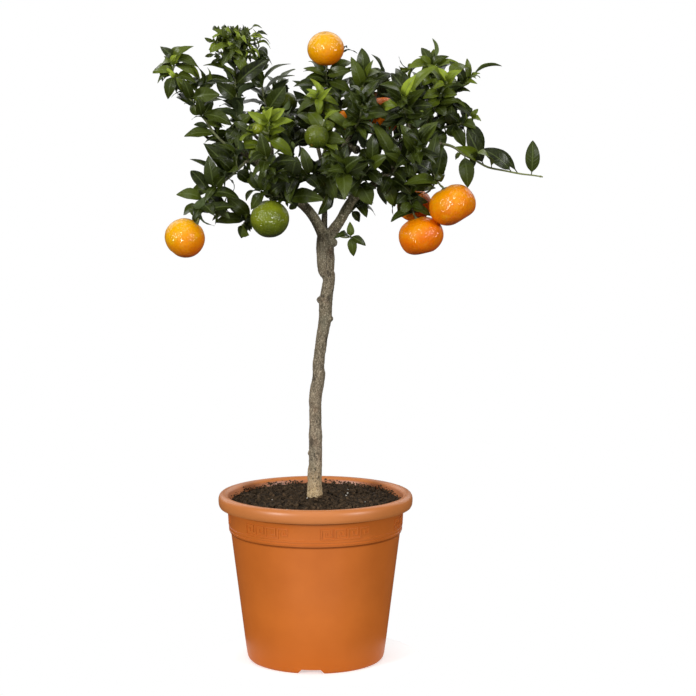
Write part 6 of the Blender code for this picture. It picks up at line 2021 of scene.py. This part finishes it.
class Nodes:
    """A small helper that lays out one Principled material."""

    def __init__(self, name):
        self.material = bpy.data.materials.new(name)
        self.material.use_nodes = True
        self.tree = self.material.node_tree
        self.shader = self.tree.nodes["Principled BSDF"]

    def new(self, kind, inputs=(), **settings):
        node = self.tree.nodes.new(kind)
        for key, value in settings.items():
            setattr(node, key, value)
        for key, value in inputs:
            self.feed(node.inputs[key], value)
        return node

    def feed(self, socket, value):
        """Gives a socket a number, a colour or what another node puts out."""
        if isinstance(value, (int, float)):
            socket.default_value = value
        elif isinstance(value, tuple):
            socket.default_value = (*value, 1.0)
        else:
            self.tree.links.new(value, socket)

    def set(self, **values):
        for key, value in values.items():
            self.feed(self.shader.inputs[key.replace("_", " ")], value)

    def attribute(self, name):
        """The three numbers that each point carries under a name."""
        node = self.new("ShaderNodeAttribute", attribute_name=name)
        return self.new("ShaderNodeSeparateXYZ", [(0, node.outputs["Vector"])]).outputs

    def place(self, scale=(1, 1, 1)):
        """Object coordinates in millimetres, stretched by a scale."""
        where = self.new("ShaderNodeTexCoord").outputs["Object"]
        mapping = self.new("ShaderNodeMapping", [("Vector", where)])
        mapping.inputs["Scale"].default_value = [1000 * s for s in scale]
        return mapping.outputs[0]

    def noise(self, scale, stretch=(1, 1, 1), detail=3.0, roughness=0.55):
        place = self.place(stretch)
        inputs = [("Scale", scale), ("Detail", detail), ("Roughness", roughness), ("Vector", place)]
        return self.new("ShaderNodeTexNoise", inputs).outputs["Fac"]

    def cells(self, scale):
        inputs = [("Scale", scale), ("Vector", self.place())]
        return self.new("ShaderNodeTexVoronoi", inputs, feature="F1").outputs["Distance"]

    def math(self, operation, a, b=0.5, clamp=False):
        return self.new("ShaderNodeMath", [(0, a), (1, b)], operation=operation, use_clamp=clamp).outputs[0]

    def times(self, a, b, clamp=False):
        return self.math("MULTIPLY", a, b, clamp)

    def plus(self, a, b, clamp=False):
        return self.math("ADD", a, b, clamp)

    def ramp(self, factor, *stops):
        node = self.new("ShaderNodeValToRGB", [(0, factor)])
        elements = node.color_ramp.elements
        while len(elements) < len(stops):
            elements.new(0.5)
        for element, (place, colour) in zip(elements, stops):
            element.position = place
            element.color = (*colour, 1.0)
        return node.outputs[0]

    def range(self, value, low, high, to_low=0.0, to_high=1.0):
        names = ("Value", "From Min", "From Max", "To Min", "To Max")
        return self.new("ShaderNodeMapRange", zip(names, (value, low, high, to_low, to_high))).outputs[0]

    def mix(self, factor, a, b):
        node = self.new("ShaderNodeMix", data_type="RGBA")
        self.feed(node.inputs[0], factor)
        for socket, value in zip([s for s in node.inputs if s.type == "RGBA"], (a, b)):
            self.feed(socket, value)
        return next(s for s in node.outputs if s.type == "RGBA")

    def veil(self, colour, over, value, low, high, most):
        """Lays a second colour over the first, more of it where a value goes from low to high."""
        return self.mix(self.range(value, low, high, 0.0, most), colour, over)

    def bump(self, height, strength, distance):
        inputs = [("Strength", strength), ("Distance", distance), ("Height", height)]
        return self.new("ShaderNodeBump", inputs).outputs[0]

    def done(self, colour, roughness, normal):
        self.set(Base_Color=colour, Roughness=roughness, Normal=normal)
        return self.material


LEAF_DARK = (0.004, 0.0062, 0.0006)
LEAF_MID = (0.019, 0.028, 0.0022)
LEAF_LIGHT = (0.052, 0.070, 0.0060)
LEAF_YOUNG = (0.135, 0.18, 0.010)
LEAF_NEW = (0.33, 0.42, 0.04)
LEAF_RIB = (0.10, 0.13, 0.035)
LEAF_UNDER = (0.085, 0.115, 0.05)


def leaf_material():
    """Glossy citrus leaf: pale midrib and side veins, paler matt under side, yellower when young."""
    n = Nodes("citrus_leaf")
    across_, along_, _ = n.attribute("mark")
    youth, under, shade = n.attribute("tone")
    # Mature colour from dark to light by a random tone, which on the leaves of known look is painted light
    # and shade
    mature = n.ramp(shade, (0.0, LEAF_DARK), (0.55, LEAF_MID), (1.0, LEAF_LIGHT))
    young = n.ramp(youth, (0.0, LEAF_LIGHT), (0.5, LEAF_YOUNG), (1.0, LEAF_NEW))
    body = n.mix(n.range(youth, 0.08, 0.45), mature, young)
    body = n.veil(body, LEAF_LIGHT, n.noise(0.12, detail=2.0), 0.35, 0.7, 0.35)
    off = n.math("ABSOLUTE", across_)
    rib = n.range(off, 0.05, 0.13, 1.0, 0.0)
    slant = n.math("SUBTRACT", n.times(along_, 9.0), n.times(off, 1.6))
    wave = n.math("ABSOLUTE", n.math("SUBTRACT", n.math("FRACT", slant), 0.5))
    vein = n.times(n.range(wave, 0.0, 0.09, 1.0, 0.0), n.range(off, 0.75, 1.0, 1.0, 0.0))
    body = n.mix(n.times(vein, 0.22), body, LEAF_RIB)
    body = n.mix(n.times(rib, 0.55), body, LEAF_RIB)
    colour = n.mix(under, body, n.mix(0.55, body, LEAF_UNDER))
    rough = n.plus(n.range(n.noise(0.5, detail=2.0), 0.3, 0.7, 0.25, 0.38), n.times(under, 0.22))
    height = n.plus(n.times(vein, -0.6), n.times(rib, -1.0))
    height = n.plus(height, n.times(n.noise(0.9, detail=2.0), 0.8))
    n.set(Specular_IOR_Level=0.22)
    return n.done(colour, rough, n.bump(height, 0.55, 0.00025))


def stem_material():
    """Green bark of the leafy stems and fruit stalks, with pale lengthwise streaks."""
    n = Nodes("green_stem")
    streak = n.noise(0.5, (1, 1, 0.12))
    old = n.ramp(streak, (0.25, (0.065, 0.07, 0.03)), (0.75, (0.18, 0.19, 0.09)))
    fresh = n.ramp(streak, (0.25, (0.16, 0.20, 0.04)), (0.75, (0.30, 0.35, 0.11)))
    colour = n.mix(n.range(n.attribute("tone")[0], 0.05, 0.8), old, fresh)
    n.set(Specular_IOR_Level=0.3)
    return n.done(colour, n.range(streak, 0.3, 0.7, 0.45, 0.6), n.bump(streak, 0.4, 0.0003))


# A fruit's skin: its colour painted as shade on the side away from the light, its low, middle and high
# colours, the last also painted as light on the lit side, the colour of its glands and how strong it is,
# how rough the skin is, and the size and depth of the gland bumps in its gloss
Skin = namedtuple("Skin", "name deep low body high pit_colour pit_share rough gland gland_depth")
RIPE_SKIN = Skin(
    "mandarin_peel", (0.73, 0.094, 0.0003), (0.70, 0.140, 0.0003), (0.73, 0.200, 0.0003),
    (0.79, 0.38, 0.0005), (0.62, 0.15, 0.001), 0.2, 0.27, 0.31, 0.0019,
)
GREEN_SKIN = Skin(
    "green_peel", (0.018, 0.034, 0.004), (0.050, 0.066, 0.003), (0.085, 0.108, 0.004),
    (0.19, 0.225, 0.010), (0.24, 0.28, 0.04), 0.35, 0.26, 0.40, 0.0016,
)
SCAR_COLOUR = (0.35, 0.16, 0.02)


def skin_material(skin):
    """Citrus skin: dense oil glands as small pits, soft changes of colour, a paler cap at the ends, painted
    light on its lit side and painted shade on its far side.
    """
    n = Nodes(skin.name)
    polar, level, _ = n.attribute("mark")
    yellower_and_painted_shade = n.attribute("tone")[2]
    speck = n.noise(0.35, detail=2.0)
    colour = n.ramp(n.noise(0.045, detail=2.0), (0.3, skin.low), (0.5, skin.body), (0.72, skin.high))
    colour = n.veil(colour, skin.high, speck, 0.35, 0.75, 0.3)
    # A fruit's own hue shift, and for the fruits set below zero a deeper colour as painted shade
    colour = n.mix(n.times(yellower_and_painted_shade, 0.6), colour, skin.high)
    colour = n.mix(n.times(yellower_and_painted_shade, -0.7), colour, skin.deep)
    # Painted light: the side that faces the light is painted in the high colour
    painted_light = n.times(n.range(level, 0.6, 0.97, 0.0, 0.8), n.plus(yellower_and_painted_shade, 1.0), clamp=True)
    colour = n.mix(painted_light, colour, skin.high)
    # Painted shade: the side away from the light is painted in the deep shade colour
    colour = n.veil(colour, skin.deep, level, 0.52, 0.1, 0.8)
    pit = n.range(n.cells(0.44), 0.05, 0.45, 1.0, 0.0)
    colour = n.mix(n.times(pit, skin.pit_share), colour, skin.pit_colour)
    colour = n.mix(n.times(n.range(polar, 0.957, 0.985), 0.85), colour, SCAR_COLOUR)
    height = n.plus(n.times(pit, -1.0), n.times(n.range(n.cells(0.9), 0.0, 0.5, 1.0, 0.0), -0.35))
    n.set(Coat_Normal=n.bump(n.noise(skin.gland, detail=0.0), 1.0, skin.gland_depth))
    n.set(Coat_Weight=n.range(yellower_and_painted_shade, -0.9, -0.6, 0.1, 0.65), Coat_Roughness=0.02, Specular_IOR_Level=0.08)
    return n.done(colour, n.range(speck, 0.3, 0.7, skin.rough, skin.rough + 0.1), n.bump(height, 0.6, 0.0004))


# Bark from its furrows to its ridges: low on the trunk, high on it, and on the limbs
LOW_BARK = ((0.28, (0.085, 0.062, 0.040)), (0.5, (0.245, 0.19, 0.128)), (0.75, (0.52, 0.42, 0.30)))
HIGH_BARK = ((0.28, (0.05, 0.038, 0.022)), (0.5, (0.145, 0.117, 0.073)), (0.75, (0.31, 0.26, 0.175)))
LIMB_BARK = ((0.28, (0.04, 0.04, 0.018)), (0.5, (0.10, 0.09, 0.045)), (0.78, (0.2, 0.175, 0.10)))


def bark_material():
    """Grey-brown fissured bark, paler and greyer low on the trunk, olive on the limbs."""
    n = Nodes("tree_bark")
    height, level, _ = n.attribute("mark")
    streak = n.noise(0.40, (1, 1, 0.42), 5.0, 0.7)
    fine = n.noise(0.75, (1, 1, 0.7), 3.0, 0.6)
    colour = n.mix(n.range(level, 0.36, 0.7), n.ramp(streak, *LOW_BARK), n.ramp(streak, *HIGH_BARK))
    colour = n.mix(n.range(level, 0.84, 0.94), colour, n.ramp(streak, *LIMB_BARK))
    colour = n.veil(colour, (0.60, 0.42, 0.20), level, 0.42, 0.35, 0.55)
    colour = n.veil(colour, (0.20, 0.12, 0.07), n.noise(0.11, (1, 1, 0.6), 2.0), 0.55, 0.7, 0.35)
    colour = n.veil(colour, (0.035, 0.027, 0.018), fine, 0.47, 0.34, 0.8)
    colour = n.veil(colour, (0.62, 0.54, 0.41), fine, 0.56, 0.68, 0.65)
    colour = n.veil(colour, (0.17, 0.16, 0.11), n.noise(0.06, (1, 1, 0.5), 3.0), 0.5, 0.68, 0.45)
    colour = n.veil(colour, (0.03, 0.022, 0.015), height, 0.38, 0.2, 0.7)
    n.set(Specular_IOR_Level=0.3)
    relief = n.bump(n.plus(streak, n.times(fine, 0.8)), 0.9, 0.0011)
    return n.done(colour, n.range(fine, 0.3, 0.7, 0.75, 0.92), relief)


POT_DARK = (0.475, 0.119, 0.0145)
POT_LIGHT = (0.525, 0.136, 0.018)
POT_PAINTED_SHEEN = (0.50, 0.20, 0.065)
POT_PAINTED_CREASE_SHADE = (0.16, 0.035, 0.006)
POT_PAINTED_LOW_SHADE = (0.29, 0.066, 0.008)


def pot_material():
    """Satin terracotta-coloured plastic, faintly mottled, with soil dust inside and at the foot, its rim
    painted paler as painted sheen, and painted shade under the rim, at the band's foot and low down towards
    the floor.
    """
    n = Nodes("terracotta_plastic")
    where = n.new("ShaderNodeTexCoord").outputs["Object"]
    height = n.new("ShaderNodeSeparateXYZ", [(0, where)]).outputs["Z"]
    cloud = n.noise(0.02, detail=3.0)
    fine = n.noise(0.9, detail=2.0)
    colour = n.ramp(cloud, (0.3, POT_DARK), (0.7, POT_LIGHT))
    foot = n.range(height, 0.0, 0.012, 1.0, 0.0)
    dust = n.times(foot, n.range(n.noise(0.25, detail=4.0), 0.45, 0.7))
    colour = n.mix(n.times(dust, 0.35), colour, (0.30, 0.16, 0.09))
    inside, painted_sheen_rim, _ = n.attribute("mark")
    inside = n.times(inside, n.range(cloud, 0.2, 0.8, 0.35, 0.6))
    colour = n.mix(inside, colour, (0.50, 0.25, 0.14))
    # Painted sheen: the rim's face is painted paler
    colour = n.mix(n.times(painted_sheen_rim, 0.55), colour, POT_PAINTED_SHEEN)
    outside = n.math("SUBTRACT", 1.0, n.plus(inside, painted_sheen_rim, clamp=True))
    # Painted shade: a dark line under the rim and at the band's foot, where shade falls, kept off the inside
    # and the rim
    band_foot = n.times(n.range(height, 0.1582, 0.1604), n.range(height, 0.1622, 0.1612))
    crease = n.math("MAXIMUM", n.range(height, 0.1884, 0.1908), band_foot)
    colour = n.mix(n.times(n.times(crease, outside), 0.75), colour, POT_PAINTED_CREASE_SHADE)
    # Painted shade: the pot darkens towards the floor over its lowest 70 mm
    colour = n.veil(colour, POT_PAINTED_LOW_SHADE, height, 0.07, 0.0, 0.6)
    n.set(Specular_IOR_Level=n.range(height, 0.0, 0.1, 0.02, 0.4))
    return n.done(colour, n.range(fine, 0.3, 0.7, 0.34, 0.42), n.bump(fine, 0.12, 0.0002))


PEAT = ((0.3, (0.014, 0.009, 0.0045)), (0.55, (0.055, 0.036, 0.020)), (0.8, (0.13, 0.088, 0.050)))


def soil_material():
    """Dark brown peat with lighter fibres and grit."""
    n = Nodes("potting_soil")
    kind, speck, _ = n.attribute("tone")
    fine = n.noise(0.7, detail=5.0, roughness=0.7)
    colour = n.ramp(fine, *PEAT)
    # Painted shade: darker in the hollows between clods and crumbs, by how far a point lies from their
    # middles
    colour = n.veil(colour, (0.006, 0.004, 0.002), n.attribute("mark")[0], 0.45, 0.85, 0.85)
    colour = n.mix(n.times(kind, 0.5), colour, (0.17, 0.105, 0.058))
    colour = n.mix(speck, colour, (0.55, 0.52, 0.46))
    n.set(Specular_IOR_Level=0.12)
    return n.done(colour, n.range(fine, 0.3, 0.7, 0.8, 1.0), n.bump(fine, 1.0, 0.0012))


def floor_material():
    n = Nodes("studio_floor")
    n.set(Base_Color=(0.7, 0.7, 0.7), Roughness=0.9, Specular_IOR_Level=0.1)
    n.set(Emission_Color=(1.0, 1.0, 1.0), Emission_Strength=0.5)
    return n.material


# The pale table top: its radius in metres and its number of sides
FLOOR_R = 0.13
FLOOR_SIDES = 96


def make_floor():
    """A round pale table top under the pot."""
    mesh = bpy.data.meshes.new("studio_floor")
    x, y = ORIGIN_SHIFT.x * MM, ORIGIN_SHIFT.y * MM
    ring = [(x + FLOOR_R * math.cos(turn), y + FLOOR_R * math.sin(turn), 0) for turn in turns(FLOOR_SIDES)]
    mesh.from_pydata(ring, [], [tuple(range(FLOOR_SIDES))])
    mesh.materials.append(floor_material())
    made = placed("studio_floor", mesh)


# Soft lights that stand far off: name, turn from the front, height above the floor (degrees), power
# and how wide each looks (degrees)
SOFT_LIGHTS = (
    ("key_left", -46.0, 15.0, 2.5, 17.0), ("key_right", 50.0, 14.0, 1.8, 16.0),
    ("front", 0.0, 33.0, 0.72, 62.0), ("top", -10.0, 74.0, 0.65, 30.0), ("table", 0.0, -26.0, 0.47, 70.0),
    ("back_left", -146.0, 34.0, 0.8, 50.0), ("back_right", 146.0, 34.0, 0.8, 50.0),
)
# Light from all round: as the camera sees it, in general, and from above and behind
BACKDROP = 1.0
FILL = 0.05
BEHIND = 0.3
# How far off the lights stand, in metres
LAMP_DISTANCE = 4


def make_lights():
    for name, turn, rise, power, wide in SOFT_LIGHTS:
        lamp = bpy.data.lights.new(name, "SUN")
        lamp.angle = math.radians(wide)
        lamp.energy = power
        turn, rise = math.radians(turn), math.radians(rise)
        out = Vector((math.sin(turn) * math.cos(rise), -math.cos(turn) * math.cos(rise), math.sin(rise)))
        made = placed(name, lamp)
        made.location = out * LAMP_DISTANCE
        made.rotation_euler = (-out).to_track_quat("-Z", "Y").to_euler()
    room = bpy.data.worlds.new("studio")
    room.use_nodes = True
    tree = room.node_tree
    back = tree.nodes["Background"]
    back.inputs["Color"].default_value = (1.0, 1.0, 1.0, 1.0)
    ray = tree.nodes.new("ShaderNodeLightPath")
    where = tree.nodes.new("ShaderNodeTexCoord")
    parts = tree.nodes.new("ShaderNodeSeparateXYZ")
    tree.links.new(where.outputs["Generated"], parts.inputs[0])
    above, behind, level = (tree.nodes.new("ShaderNodeMapRange") for _ in range(3))
    limits = (
        (above, parts.outputs["Z"], (0.0, 0.3, FILL, BEHIND)),
        (behind, parts.outputs["Y"], (0.2, 0.8, FILL, BEHIND)),
        (level, ray.outputs["Is Camera Ray"], (0.0, 1.0, FILL, BACKDROP)),
    )
    for node, source, numbers in limits:
        tree.links.new(source, node.inputs["Value"])
        for key, number in zip(("From Min", "From Max", "To Min", "To Max"), numbers):
            node.inputs[key].default_value = number
    tree.links.new(above.outputs[0], behind.inputs["To Max"])
    tree.links.new(behind.outputs[0], level.inputs["To Min"])
    tree.links.new(level.outputs[0], back.inputs["Strength"])
    bpy.context.scene.world = room
    bpy.context.scene.view_settings.view_transform = "Standard"


def make_camera():
    lens = bpy.data.cameras.new("camera")
    lens.lens = EYE_LENS
    lens.clip_end = 50.0
    made = placed("camera", lens)
    made.location = world((0, -EYE_DISTANCE, EYE_HEIGHT))
    made.rotation_euler = (math.radians(90 - EYE_TILT), 0, math.radians(EYE_TURN))
    bpy.context.scene.camera = made


def main():
    make_camera()
    make_floor()
    make_lights()
    leaf, stem = leaf_material(), stem_material()
    ripe, green = skin_material(RIPE_SKIN), skin_material(GREEN_SKIN)
    plastic, earth = pot_material(), soil_material()
    make_pot([plastic])
    make_key([plastic])
    make_soil([earth])
    make_crumbs([earth])
    make_wood([bark_material()])
    make_fruits(ripe, green)
    plan, space = plan_leaves()
    sides = extra_leaves(plan, space)
    make_sprays(plan, sides, [leaf, stem])


main()
